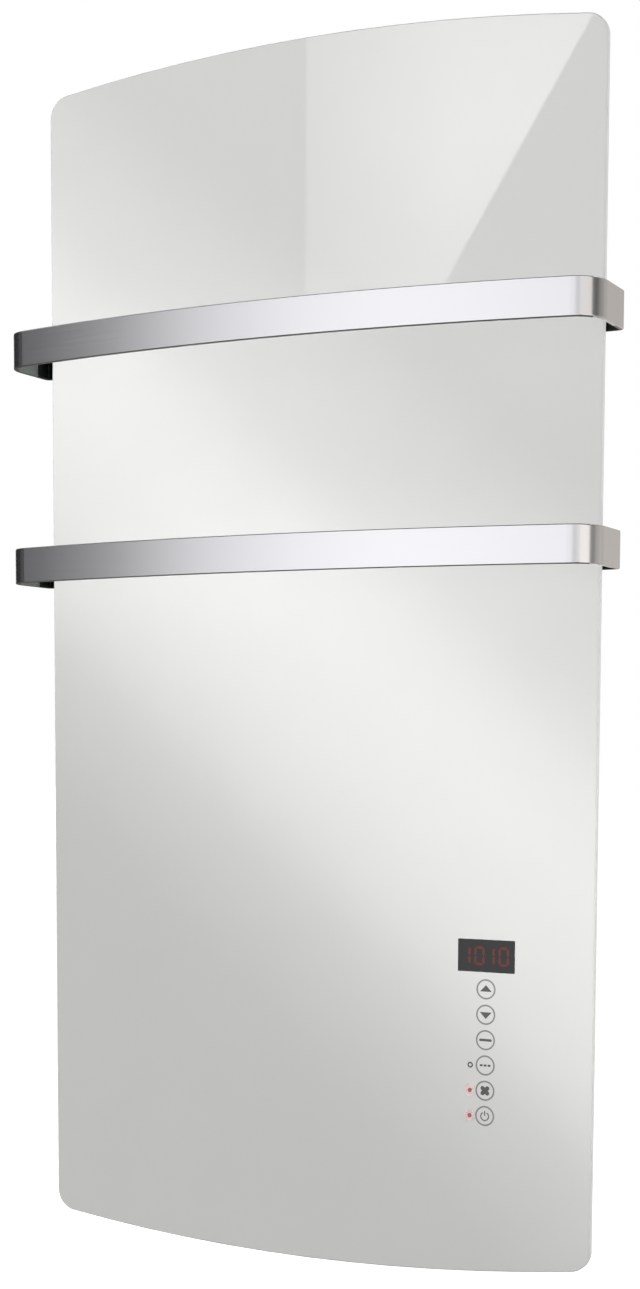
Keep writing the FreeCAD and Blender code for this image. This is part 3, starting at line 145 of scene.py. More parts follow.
def add(tree, kind, inputs=(), **settings):
    """Add a node with its settings and what feeds it. A Mix of colours has its share at 0, its colours at 6 and 7."""
    made = tree.nodes.new(kind)
    for name, value in settings.items():
        setattr(made, name, value)
    feed(made, inputs)
    return made


def new_finish(name, base, roughness, metallic=0.0):
    """Start a finish from plain values and return it with its nodes and its place on the object."""
    made = bpy.data.materials.new(name)
    made.use_nodes = True
    tree = made.node_tree
    shader = tree.nodes["Principled BSDF"]
    feed(shader, {"Base Color": base, "Roughness": roughness, "Metallic": metallic})
    return made, tree, shader, add(tree, "ShaderNodeTexCoord").outputs["Object"]


def fine(millimetres):
    """Scale of a pattern whose features have this real size."""
    return 1.0 / (millimetres * MILLIMETRE)


def sized(place, millimetres, **others):
    """Inputs of a pattern whose features have this real size."""
    return {"Vector": place, "Scale": fine(millimetres), **others}


def shade(base, share):
    """The same colour, darker or lighter."""
    return tuple(min(1.0, part * share) for part in base)


def work_in(shader, pattern, tones=None, gloss=None, relief=None, span=(0.3, 0.7)):
    """Work a pattern into a finish.

    Over a span of its values it moves the colour between two tones and the roughness between two values. The
    relief has a strength and a height in millimetres.
    """
    tree = shader.id_data
    if tones:
        share = add(tree, "ShaderNodeMapRange", [pattern, *span])
        mixed = add(tree, "ShaderNodeMix", {0: share, 6: tones[0], 7: tones[1]}, data_type="RGBA")
        feed(shader, {"Base Color": mixed})
    if gloss:
        rough = add(tree, "ShaderNodeMapRange", [pattern, *span, *gloss])
        feed(shader, {"Roughness": rough})
    if relief:
        strength, millimetres = relief
        raised = add(tree, "ShaderNodeBump", {"Strength": strength, "Distance": millimetres * MILLIMETRE,
                                              "Height": pattern})
        feed(shader, {"Normal": raised})


def back_painted_glass(colours):
    # Toughened float glass with pale paint behind it: a mirror-smooth face, a clear rim of about 1 mm where the
    # paint stops short, pale ground edges and dull paint at the back.
    polished, ground_adds, paint_adds = 0.02, 0.22, 0.3
    paint_starts, paint_full = 0.0003, 0.0014
    back_margin = 0.0001
    made, tree, shader, place = new_finish("back_painted_glass", colours.paint, polished)
    feed(shader, {"IOR": 1.52, "Specular IOR Level": 0.2})
    split = add(tree, "ShaderNodeSeparateXYZ", [place]).outputs
    across, up = [add(tree, "ShaderNodeMath", [split[axis]], operation="ABSOLUTE") for axis in "XZ"]
    from_side = add(tree, "ShaderNodeMath", [HALF_GLASS, across], operation="SUBTRACT")
    arch = (HALF_GLASS ** 2 + ARCH_RISE ** 2) / (2 * ARCH_RISE)
    over = add(tree, "ShaderNodeMath", [up, arch - TOP_GLASS], operation="ADD")
    spoke = add(tree, "ShaderNodeCombineXYZ", {"X": across, "Y": over})
    reach = add(tree, "ShaderNodeVectorMath", [spoke], operation="LENGTH")
    from_end = add(tree, "ShaderNodeMath", [arch, reach], operation="SUBTRACT")
    inside = add(tree, "ShaderNodeMath", [from_side, from_end], operation="MINIMUM")
    painted = add(tree, "ShaderNodeMapRange", [inside, paint_starts, paint_full])
    cloud = add(tree, "ShaderNodeTexNoise", sized(place, 60, Detail=2.0))
    paint = add(tree, "ShaderNodeMix", {0: cloud, 6: shade(colours.paint, 0.985), 7: shade(colours.paint, 1.015)},
                data_type="RGBA")
    ground, behind = [add(tree, "ShaderNodeMath", [split["Y"], start], operation="GREATER_THAN")
                      for start in (FRONT + BEVEL, BACK - back_margin)]
    whole = colours.rim
    for where, tone in ((painted, paint), (ground, colours.edge), (behind, paint)):
        whole = add(tree, "ShaderNodeMix", {0: where, 6: whole, 7: tone}, data_type="RGBA")
    dull = add(tree, "ShaderNodeMath", [ground, ground_adds, polished], operation="MULTIPLY_ADD")
    duller = add(tree, "ShaderNodeMath", [behind, paint_adds, dull], operation="MULTIPLY_ADD")
    feed(shader, {"Base Color": whole, "Roughness": duller})
    return made


def satin_steel(colours):
    # Stainless steel brushed along the band: soft streaks of light along it, clear gradients across it.
    # The brush lines of 0.1 mm are drawn at 0.5 mm so that they show. Where no brush reaches, the steel is rougher,
    # and its colour is darkened as painted shade: grey on the rounded cut edges, where the band's top and underside
    # fall in shade; grey-green on the inner faces of the bent ends, which face the glass; nearly black, as a painted
    # shadow, on the feet behind the glass. The edges of the right bend get no painted shade and gleam like the band.
    edge_tilt, never = 0.4, 1.0
    inner_tilt, foot_tilt = -0.7, 0.3
    streaks, dull_adds = (0.15, 0.23), 0.3
    bend_starts, feet_start = HALF_GLASS + 0.007, FRONT - 0.008
    made, tree, shader, place = new_finish("satin_steel", colours.steel, 0.2, metallic=1.0)
    along = add(tree, "ShaderNodeMapping", {"Vector": place, "Scale": (fine(60), fine(60), fine(0.5))})
    lines = add(tree, "ShaderNodeTexNoise", {"Vector": along, "Scale": 1.0, "Detail": 3.0})
    work_in(shader, lines, relief=(0.08, 0.02))
    tilt = add(tree, "ShaderNodeSeparateXYZ", [add(tree, "ShaderNodeTexCoord").outputs["Normal"]]).outputs
    split = add(tree, "ShaderNodeSeparateXYZ", [place]).outputs
    side = add(tree, "ShaderNodeMath", [split["X"]], operation="SIGN")
    outward = add(tree, "ShaderNodeMath", [tilt["X"], side], operation="MULTIPLY")
    steep = add(tree, "ShaderNodeMath", [tilt["Z"]], operation="ABSOLUTE")
    bent = add(tree, "ShaderNodeMath", [split["X"], bend_starts], operation="GREATER_THAN")
    sharp = add(tree, "ShaderNodeMath", [bent, never - edge_tilt, edge_tilt], operation="MULTIPLY_ADD")
    # Steep cut edges, except on the right bend: rougher, and darkened grey as painted shade.
    cut_edge_and_shade = add(tree, "ShaderNodeMath", [steep, sharp], operation="GREATER_THAN")
    # Inner faces of the bent ends: rougher, and darkened grey-green as painted shade.
    inside = add(tree, "ShaderNodeMath", [outward, inner_tilt], operation="LESS_THAN")
    turned = add(tree, "ShaderNodeMath", [outward, foot_tilt], operation="LESS_THAN")
    # Feet behind the glass: darkened nearly black as a painted shadow.
    rear = add(tree, "ShaderNodeMath", [split["Y"], feet_start], operation="GREATER_THAN")
    painted_shadow_feet = add(tree, "ShaderNodeMath", [rear, turned], operation="MULTIPLY")
    whole = add(tree, "ShaderNodeMix", {0: lines, 6: shade(colours.steel, 0.95), 7: colours.steel}, data_type="RGBA")
    # Painted shade and shadow laid over the brushed tone by the masks above.
    for where, code in ((cut_edge_and_shade, "6E6C6A"), (inside, "7C827F"), (painted_shadow_feet, "2A2E2C")):
        whole = add(tree, "ShaderNodeMix", {0: where, 6: whole, 7: linear(code)}, data_type="RGBA")
    dull = add(tree, "ShaderNodeMath", [cut_edge_and_shade, inside], operation="MAXIMUM")
    streak = add(tree, "ShaderNodeMapRange", [lines, 0.3, 0.7, *streaks])
    rough = add(tree, "ShaderNodeMath", [dull, dull_adds, streak], operation="MULTIPLY_ADD")
    feed(shader, {"Base Color": whole, "Roughness": rough})
    return made


def powder_coat(name, base):
    # Sprayed and baked polyester powder on sheet steel: a dull sheen with a fine orange peel of 0.7 mm.
    made, tree, shader, place = new_finish(name, base, 0.42)
    peel = add(tree, "ShaderNodeTexNoise", sized(place, 0.7, Detail=2.0))
    cloud = add(tree, "ShaderNodeTexNoise", sized(place, 90, Detail=3.0))
    work_in(shader, cloud, tones=(shade(base, 0.95), base))
    work_in(shader, peel, gloss=(0.36, 0.48), relief=(0.25, 0.06))
    return made


def galvanised_sheet():
    # Hot-dip galvanised steel: zinc flowers of 7 mm, each a little lighter or darker, with a cold gleam.
    base = linear("A6ABAE")
    made, tree, shader, place = new_finish("galvanised_sheet", base, 0.4, metallic=1.0)
    flowers = add(tree, "ShaderNodeTexVoronoi", sized(place, 7))
    grey = add(tree, "ShaderNodeRGBToBW", [flowers.outputs["Color"]])
    work_in(shader, grey, tones=(shade(base, 0.82), shade(base, 1.12)), span=(0.0, 1.0))
    work_in(shader, grey, gloss=(0.3, 0.5), span=(0.2, 0.8))
    return made


def rolled_aluminium(name, code, rolling):
    # Mill-finish aluminium: bright and a little hazy, with faint lines along the rolling or the die.
    base = linear(code)
    made, tree, shader, place = new_finish(name, base, 0.32, metallic=1.0)
    along = add(tree, "ShaderNodeMapping", {"Vector": place, "Scale": rolling})
    lines = add(tree, "ShaderNodeTexNoise", {"Vector": along, "Scale": 1.0, "Detail": 4.0})
    work_in(shader, lines, tones=(shade(base, 0.86), base), gloss=(0.26, 0.42), relief=(0.15, 0.03))
    return made


def machined_steel(name, code, turning):
    # Turned or stamped steel: close tool marks across the piece, drawn coarser so that they show; a sharp gleam.
    base = linear(code)
    made, tree, shader, place = new_finish(name, base, 0.25, metallic=1.0)
    marks = add(tree, "ShaderNodeTexWave", sized(place, turning * COARSE_WAVE, Distortion=0.6, Detail=1.0),
                bands_direction="X")
    work_in(shader, marks.outputs["Fac"], tones=(shade(base, 0.8), base), gloss=(0.2, 0.36),
            relief=(0.2, 0.03), span=(0.0, 1.0))
    return made


def zinc_plate():
    # Zinc-plated screws: bluish passivation with pale yellow patches.
    base = linear("B9BDC3")
    made, tree, shader, place = new_finish("zinc_screw", base, 0.32, metallic=1.0)
    patches = add(tree, "ShaderNodeTexNoise", sized(place, 2.5, Detail=2.0))
    work_in(shader, patches, tones=(linear("C4BDA4"), base), span=(0.35, 0.6))
    work_in(shader, patches, gloss=(0.25, 0.4))
    return made


def cast_metal(name, code):
    # Die-cast or sintered metal: a fine grey mottle and open pores of about 1 mm.
    base = linear(code)
    made, tree, shader, place = new_finish(name, base, 0.45, metallic=1.0)
    pores = add(tree, "ShaderNodeTexVoronoi", sized(place, 1.1))
    mottle = add(tree, "ShaderNodeTexNoise", sized(place, 4, Detail=3.0))
    work_in(shader, mottle, tones=(shade(base, 0.78), base))
    work_in(shader, pores, relief=(0.25, 0.08))
    return made


def moulded(name, code, roughness, grit):
    # Injection-moulded plastic from a spark-eroded mould: an even grain that breaks up the sheen.
    base = linear(code)
    made, tree, shader, place = new_finish(name, base, roughness)
    grain = add(tree, "ShaderNodeTexNoise", sized(place, grit, Detail=3.0))
    flow = add(tree, "ShaderNodeTexNoise", sized(place, 25, Detail=1.0))
    work_in(shader, flow, tones=(shade(base, 0.9), shade(base, 1.06)))
    work_in(shader, grain, gloss=(roughness - 0.07, roughness + 0.08), relief=(0.2, 0.05))
    return made


def rubbery(name, code, roughness, cell):
    # Soft rubber, silicone or foam: no gleam, small cells or dust in the surface.
    base = linear(code)
    made, tree, shader, place = new_finish(name, base, roughness)
    cells = add(tree, "ShaderNodeTexVoronoi", sized(place, cell))
    work_in(shader, cells, tones=(shade(base, 1.15), shade(base, 0.9)), relief=(0.3, 0.1), span=(0.1, 0.8))
    return made


def stacked_laminations():
    # Stamped electrical steel, stacked and varnished: thin dark seams every 0.5 mm, drawn at 2 mm so that they show.
    base = linear("6A6C70")
    made, tree, shader, place = new_finish("lamination", base, 0.4, metallic=0.8)
    seams = add(tree, "ShaderNodeTexWave", sized(place, COARSE_WAVE), bands_direction="X", wave_profile="SAW")
    work_in(shader, seams.outputs["Fac"], tones=(shade(base, 0.45), base), relief=(0.3, 0.1), span=(0.0, 0.4))
    return made


def polyester_tape():
    # Yellow polyester tape wound on a coil: glossy turns that overlap every 5 mm, drawn at 11 mm so that they show.
    base = linear("D9A92A")
    made, tree, shader, place = new_finish("coil_tape", base, 0.25)
    turns = add(tree, "ShaderNodeTexWave", sized(place, 5 * COARSE_WAVE, Distortion=0.3),
                bands_direction="DIAGONAL", wave_profile="SAW")
    work_in(shader, turns.outputs["Fac"], tones=(shade(base, 0.6), base), relief=(0.3, 0.08),
            span=(0.0, 0.25))
    return made


def circuit_board():
    # Glass-epoxy board under green solder mask: copper tracks of about 1 mm show as paler green.
    base = linear("1F6B3C")
    made, tree, shader, place = new_finish("circuit_board", base, 0.3)
    upright = add(tree, "ShaderNodeMapping", {"Vector": place, "Rotation": UPRIGHT})
    tracks = add(tree, "ShaderNodeTexBrick", {
        "Vector": upright, "Scale": fine(10), "Color1": shade(WHITE, 0.2), "Color2": shade(WHITE, 0.5),
        "Mortar": WHITE, "Mortar Size": 0.035, "Brick Width": 0.9, "Row Height": 0.22})
    grey = add(tree, "ShaderNodeRGBToBW", [tracks.outputs["Color"]])
    work_in(shader, grey, tones=(shade(base, 0.85), linear("4E9A63")), relief=(0.2, 0.04), span=(0.0, 1.0))
    return made


def unglazed_ceramic():
    # Pressed steatite, fired without glaze: dry, creamy, with fine dark specks.
    base = linear("EBE3D2")
    made, tree, shader, place = new_finish("steatite", base, 0.7)
    specks = add(tree, "ShaderNodeTexNoise", sized(place, 0.8, Detail=4.0))
    work_in(shader, specks, tones=(linear("B9AC93"), base), relief=(0.15, 0.05), span=(0.3, 0.42))
    return made


def clear_resin():
    # Clear red epoxy of a small lamp: light gathers inside it.
    made, tree, shader, place = new_finish("lamp_resin", linear("B3151C"), 0.12)
    feed(shader, {"Transmission Weight": 0.5})
    swirl = add(tree, "ShaderNodeTexNoise", sized(place, 1.5, Detail=1.0))
    work_in(shader, swirl, tones=(linear("8E1016"), linear("D03038")))
    return made


def screen_ink(name, base):
    # Screen-printed ink under the gloss of the glass: dense colour, a trace of the mesh at 0.3 mm.
    made, tree, shader, place = new_finish(name, base, 0.12)
    mesh = add(tree, "ShaderNodeTexNoise", sized(place, 0.3, Detail=1.0))
    work_in(shader, mesh, tones=(shade(base, 0.92), shade(base, 1.08)))
    return made


def smoked_film(base):
    # Smoked film behind the glass over the display: dark, mirror-smooth like the glass around it.
    made, tree, shader, place = new_finish("smoked_film", base, 0.03)
    haze = add(tree, "ShaderNodeTexNoise", sized(place, 9, Detail=2.0))
    work_in(shader, haze, tones=(shade(base, 0.85), shade(base, 1.1)))
    return made


def lit_bar(name, base, strength):
    # Light-emitting bar or dot behind red resin: even red light, a little brighter where the die sits.
    made, tree, shader, place = new_finish(name, base, 0.2)
    dies = add(tree, "ShaderNodeTexNoise", sized(place, 2, Detail=1.0))
    work_in(shader, dies, tones=(shade(base, 0.8), base))
    glow = add(tree, "ShaderNodeMix", {0: dies, 6: shade(base, 0.7), 7: base}, data_type="RGBA")
    feed(shader, {"Emission Color": glow, "Emission Strength": strength})
    return made


def soft_halo(base):
    # Light that leaks round a pilot into the paint, painted on as a pink glow that gives no light: pink at the dot,
    # gone at the rim. The disc's own UV map has its middle at a half and its rim at a half from there.
    densest, core, rim = 0.85, 0.06, 0.48
    made, tree, shader, _ = new_finish("pilot_halo", base, 0.15)
    chart = add(tree, "ShaderNodeUVMap")
    middle = add(tree, "ShaderNodeVectorMath", [chart, (0.5, 0.5, 0.0)], operation="DISTANCE")
    fade = add(tree, "ShaderNodeMapRange", [middle, core, rim, densest, 0.0], interpolation_type="SMOOTHSTEP")
    feed(shader, {"Alpha": fade})
    return made


def dress(finish, *names):
    """Give CAD nodes a finish."""
    for name in names:
        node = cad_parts[name]
        if not node.material_slots:
            node.data.materials.append(finish)
        for slot in node.material_slots:
            slot.material = finish


def alone(piece=None):
    """Leave object mode's selection empty, or with one piece in it."""
    if bpy.context.mode != "OBJECT":
        bpy.ops.object.mode_set(mode="OBJECT")
    bpy.ops.object.select_all(action="DESELECT")
    if piece is not None:
        piece.select_set(True)
        bpy.context.view_layer.objects.active = piece


def settle(piece):
    """Put the piece's place, turn and scale into its mesh."""
    alone(piece)
    bpy.ops.object.transform_apply(location=True, rotation=True, scale=True)
    return piece


def flat_disc(x, z, radius, sides, stretch=(1.0, 1.0), turned=0.0):
    """Add a filled flat shape that faces the viewer from the face of the glass."""
    alone()
    bpy.ops.mesh.primitive_circle_add(vertices=sides, radius=radius, fill_type="NGON",
                                      location=(x, FRONT + SEAT, z), rotation=(math.pi / 2, turned, 0.0))
    bpy.context.active_object.scale = (*stretch, 1.0)
    return settle(bpy.context.active_object)


def plate(middle, size, turned):
    """Add a flat rectangle."""
    alone()
    bpy.ops.mesh.primitive_plane_add(size=1.0, location=middle, rotation=turned)
    bpy.context.active_object.scale = (*size, 1.0)
    return settle(bpy.context.active_object)


def edit(piece, action):
    """Enter edit mode with all of a piece selected or nothing."""
    alone(piece)
    bpy.ops.object.mode_set(mode="EDIT")
    bpy.ops.mesh.select_all(action=action)


def flat_block(x, z, width, height, corner):
    """Add a flat rectangle with rounded corners on the face of the glass."""
    piece = plate((x, FRONT + SEAT, z), (width, height), UPRIGHT)
    edit(piece, "SELECT")
    bpy.ops.mesh.bevel(offset=corner, segments=6, affect="VERTICES")
    return settle(piece)


def open_ring(piece, stroke):
    """Cut a flat disc to a ring of this stroke."""
    edit(piece, "SELECT")
    bpy.ops.mesh.inset(thickness=stroke, depth=0.0)
    bpy.ops.mesh.delete(type="FACE")
    return settle(piece)


def pick(piece, kind, test):
    """Enter edit mode with those points or faces selected whose middle passes a test."""
    edit(piece, "DESELECT")
    bpy.ops.mesh.select_mode(type=kind)
    bpy.ops.object.mode_set(mode="OBJECT")
    for spot in piece.data.vertices if kind == "VERT" else piece.data.polygons:
        spot.select = test(spot.co if kind == "VERT" else spot.center)
    bpy.ops.object.mode_set(mode="EDIT")


def raise_ink(piece, thickness):
    """Give a flat print its thickness, towards the viewer."""
    alone(piece)
    film = piece.modifiers.new("Film", "SOLIDIFY")
    film.thickness = thickness + SEAT
    film.offset = 1.0
    bpy.ops.object.modifier_apply(modifier=film.name)
    return piece


def copy_of(piece):
    """Copy a piece, with a mesh of its own."""
    alone(piece)
    bpy.ops.object.duplicate(linked=False)
    return bpy.context.active_object


def move(piece, across, up):
    """Move a piece over the glass."""
    alone(piece)
    bpy.ops.transform.translate(value=(across, 0.0, up))
    return settle(piece)


def turn(piece, angle, x, z):
    """Turn a piece about a point of the glass."""
    alone(piece)
    bpy.ops.transform.rotate(value=angle, orient_axis="Y", center_override=(x, FRONT, z))
    return settle(piece)


def join(name, pieces, finish):
    """Make one named piece of several, give it its finish and let it ride on the body."""
    alone(pieces[0])
    for piece in pieces[1:]:
        piece.select_set(True)
    if len(pieces) > 1:
        bpy.ops.object.join()
    made = bpy.context.active_object
    made.name = made.data.name = name
    made.data.materials.clear()
    made.data.materials.append(finish)
    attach(made, "body")


def key_level(prints, number):
    """Height of a key's middle, counted from the highest."""
    return prints.key_level - prints.key_pitch * number


class RAIL_OT_display(bpy.types.Operator):
    """Print the dark window and light its digits"""
    bl_idname = "rail.display"
    bl_label = "Display"

    shown = (1, 0, 1, 0)
    # How far the digits lie left of the window's middle, how far a bar stops short, and how strongly it shines.
    digits_left = 0.0006
    bar_gap = 0.0001
    strength = 0.1

    def upright(self, prints, x, z):
        """One lit bar, pointed at both ends, as long as half a digit."""
        half = prints.digit_height / 4 - self.bar_gap
        bar = flat_disc(x, z, half, sides=6, stretch=(prints.digit_stroke / (half * math.sqrt(3)), 1.0))
        pick(bar, "VERT", lambda spot: abs(spot.x - x) > prints.digit_stroke / 8)
        shoulder = (half - prints.digit_stroke / 2) / (half / 2)
        bpy.ops.transform.resize(value=(1.0, 1.0, shoulder), center_override=(x, FRONT, z))
        return settle(bar)

    def execute(self, context):
        prints = context.scene.rail_prints
        colours = context.scene.rail_colours
        window = flat_block(prints.column, prints.window_level, prints.window_width, prints.window_height,
                            prints.window_corner)
        join("display_window", [raise_ink(window, prints.ink)], smoked_film(colours.window))
        half_wide = prints.digit_width / 2
        quarter = prints.digit_height / 4
        bars = []
        for place, digit in enumerate(self.shown):
            x = prints.column + (place - (len(self.shown) - 1) / 2) * prints.digit_pitch - self.digits_left
            sides = (half_wide, -half_wide) if digit == 0 else (half_wide / 2,)
            bars += [self.upright(prints, x + side, prints.window_level + up)
                     for side in sides for up in (quarter, -quarter)]
            if digit == 0:
                for z in (prints.window_level + quarter * 2, prints.window_level - quarter * 2):
                    bars.append(turn(self.upright(prints, x, z), math.pi / 2, x, z))
        lit = [raise_ink(bar, prints.ink * 2) for bar in bars]
        join("display_digits", lit, lit_bar("lit_segment", colours.segment, self.strength))
        return {"FINISHED"}


class RAIL_OT_key_rings(bpy.types.Operator):
    """Print the ring of every touch key"""
    bl_idname = "rail.key_rings"
    bl_label = "Key rings"

    def execute(self, context):
        prints = context.scene.rail_prints
        disc = flat_disc(prints.column, key_level(prints, UP_KEY), prints.key_radius, sides=72)
        first = raise_ink(open_ring(disc, prints.key_stroke), prints.ink)
        rings = [first] + [move(copy_of(first), 0.0, -prints.key_pitch * key)
                           for key in range(DOWN_KEY, POWER_KEY + 1)]
        join("key_rings", rings, screen_ink("ring_ink", context.scene.rail_colours.ring))
        return {"FINISHED"}


class RAIL_OT_key_symbols(bpy.types.Operator):
    """Print a plain symbol in every touch key"""
    bl_idname = "rail.key_symbols"
    bl_label = "Key symbols"

    # Bars have a width, a height and a corner's radius; drops and lifts are from the middle of the key.
    arrow_radius, arrow_stretch = 0.0058, (1.0, 0.62)
    up_drop, down_lift = 0.0001, 0.0002
    long_bar = (0.0108, 0.002, 0.0008)
    short_bar, short_pitch = (0.0026, 0.0017, 0.0007), 0.0034
    blade_radius, blade_stretch, blade_shift = 0.0019, (1.1, 0.96), 0.0018
    hub_radius = 0.0008
    power_drop, power_radius, power_stroke = 0.0003, 0.0038, 0.0009
    power_half_gap, power_bar, power_bar_lift = 0.0016, (0.0009, 0.004, 0.0004), 0.0024

    def arrows(self, prints):
        """Up and down arrows."""
        return [flat_disc(prints.column, z, self.arrow_radius, 3, self.arrow_stretch, turned)
                for z, turned in ((key_level(prints, UP_KEY) - self.up_drop, 0.0),
                                  (key_level(prints, DOWN_KEY) + self.down_lift, math.pi))]

    def dashes(self, prints):
        """A bar in one key and a row of three short bars in the next."""
        bar = flat_block(prints.column, key_level(prints, BAR_KEY), *self.long_bar)
        middle = flat_block(prints.column, key_level(prints, ROW_KEY), *self.short_bar)
        outer = [move(copy_of(middle), across, 0.0) for across in (-self.short_pitch, self.short_pitch)]
        return [bar, middle] + outer

    def fan(self, prints):
        """Four rounded blades round a hub."""
        x, z = prints.column, key_level(prints, FAN_KEY)
        blade = flat_disc(x + self.blade_shift, z + self.blade_shift, self.blade_radius, sides=28,
                          stretch=self.blade_stretch, turned=-math.pi / 4)
        blades = [blade] + [turn(copy_of(blade), math.pi / 2 * step, x, z) for step in (1, 2, 3)]
        return blades + [flat_disc(x, z, self.hub_radius, sides=24)]

    def power(self, prints):
        """A ring open at the top with a short upright bar in the gap."""
        x, z = prints.column, key_level(prints, POWER_KEY) - self.power_drop
        ring = open_ring(flat_disc(x, z, self.power_radius, sides=60), self.power_stroke)
        pick(ring, "FACE", lambda spot: spot.z > z and abs(spot.x - x) < self.power_half_gap)
        bpy.ops.mesh.delete(type="FACE")
        return [settle(ring), flat_block(x, z + self.power_bar_lift, *self.power_bar)]

    def execute(self, context):
        prints = context.scene.rail_prints
        flats = self.arrows(prints) + self.dashes(prints) + self.fan(prints) + self.power(prints)
        symbols = [raise_ink(flat, prints.ink) for flat in flats]
        join("key_symbols", symbols, screen_ink("symbol_ink", context.scene.rail_colours.symbol))
        return {"FINISHED"}


class RAIL_OT_pilots(bpy.types.Operator):
    """Print the unlit pilot's ring, light the other two and paint a glow round them"""
    bl_idname = "rail.pilots"
    bl_label = "Pilots"

    # How far the pilots lie below their keys' middles, and the lit ones left of the ring.
    ring_drop, ring_stroke = 0.0003, 0.0012
    lit_drop, lit_left = 0.0004, 0.0002
    strength = 0.2

    def pair(self, prints, radius, sides, thickness):
        """A disc beside the fan key and one beside the power key."""
        x = prints.column - prints.pilot_shift - self.lit_left
        disc = flat_disc(x, key_level(prints, FAN_KEY) - self.lit_drop, radius, sides)
        first = raise_ink(disc, thickness)
        return [first, move(copy_of(first), 0.0, -prints.key_pitch)]

    def execute(self, context):
        prints = context.scene.rail_prints
        colours = context.scene.rail_colours
        disc = flat_disc(prints.column - prints.pilot_shift, key_level(prints, ROW_KEY) - self.ring_drop,
                         prints.pilot_ring, sides=40)
        ring = raise_ink(open_ring(disc, self.ring_stroke), prints.ink)
        join("pilot_ring", [ring], screen_ink("pilot_ink", colours.symbol))
        halos = self.pair(prints, prints.pilot_halo, sides=48, thickness=prints.ink / 3)
        join("pilot_halos", halos, soft_halo(colours.halo))
        dots = self.pair(prints, prints.pilot_radius, sides=32, thickness=prints.ink * 2)
        join("pilot_dots", dots, lit_bar("lit_pilot", colours.pilot, self.strength))
        return {"FINISHED"}


class RAIL_OT_glass(bpy.types.Operator):
    """Finish the glass sheet and the bead that holds it"""
    bl_idname = "rail.glass"
    bl_label = "Glass"

    def execute(self, context):
        dress(back_painted_glass(context.scene.rail_colours), "glass_panel")
        dress(rubbery("silicone", "D4D4CF", roughness=0.5, cell=1.5), "glass_bond_frame")
        return {"FINISHED"}


class RAIL_OT_bars(bpy.types.Operator):
    """Finish the towel bars and their screws"""
    bl_idname = "rail.bars"
    bl_label = "Towel bars"

    def execute(self, context):
        dress(satin_steel(context.scene.rail_colours), "towel_bar_upper", "towel_bar_lower")
        dress(zinc_plate(), "towel_bar_screws", "case_screws")
        return {"FINISHED"}


class RAIL_OT_case(bpy.types.Operator):
    """Finish the case, its grilles, its chassis and the wall bracket"""
    bl_idname = "rail.case"
    bl_label = "Case"

    def execute(self, context):
        colours = context.scene.rail_colours
        dress(powder_coat("white_enamel", colours.enamel), "rear_cover", "wall_bracket")
        dress(powder_coat("grey_enamel", colours.grille), "top_outlet_grille", "fan_outlet_grille")
        dress(galvanised_sheet(), "front_chassis", "element_bracket_left", "element_bracket_right")
        dress(rubbery("bumper_rubber", "262626", roughness=0.85, cell=0.8), "wall_bumpers")
        return {"FINISHED"}


class RAIL_OT_heaters(bpy.types.Operator):
    """Finish the heating elements and what holds them"""
    bl_idname = "rail.heaters"
    bl_label = "Heaters"

    def execute(self, context):
        drawn = (fine(80), fine(0.6), fine(0.6))
        dress(rolled_aluminium("bare_aluminium", "CFD1D3", drawn), "heating_element_upper",
              "heating_element_lower", "heat_reflector", "blower_heater")
        dress(unglazed_ceramic(), "element_insulators")
        return {"FINISHED"}


class RAIL_OT_blower(bpy.types.Operator):
    """Finish the cross-flow blower and its motor"""
    bl_idname = "rail.blower"
    bl_label = "Blower"

    def execute(self, context):
        rolled = (fine(0.8), fine(20), fine(20))
        dress(rolled_aluminium("impeller_aluminium", "C4C6C8", rolled), "blower_impeller")
        dress(machined_steel("bright_steel", "C2C3C6", turning=0.6), "blower_shaft", "motor_rotor")
        dress(cast_metal("bronze", "B08A55"), "shaft_end_bush")
        dress(cast_metal("die_cast", "B4B6B8"), "motor_bridge_left", "motor_bridge_right")
        dress(stacked_laminations(), "motor_stator")
        dress(polyester_tape(), "motor_coil")
        return {"FINISHED"}


class RAIL_OT_electrics(bpy.types.Operator):
    """Finish the boards, the switch and the other electrical pieces"""
    bl_idname = "rail.electrics"
    bl_label = "Electrics"

    def execute(self, context):
        for name, code, roughness, grit, *nodes in (
                ("black_plastic", "262627", 0.5, 0.4, "blower_casing", "thermal_cutout", "power_relays",
                 "control_carrier", "cable_gland", "gland_nut", "switch_housing", "room_sensor"),
                ("switch_plastic", "313133", 0.3, 0.6, "switch_rocker"),
                ("pillar_nylon", "DEDCD4", 0.45, 0.5, "board_pillars"),
                ("terminal_plastic", "D6D6D2", 0.4, 0.5, "terminal_block"),
                ("display_plastic", "3A1214", 0.2, 0.8, "display_module")):
            dress(moulded(name, code, roughness, grit), *nodes)
        dress(circuit_board(), "touch_board", "power_board")
        dress(rubbery("touch_foam", "3C3C3F", roughness=0.9, cell=0.7), "touch_pads")
        dress(clear_resin(), "pilot_lamps")
        return {"FINISHED"}


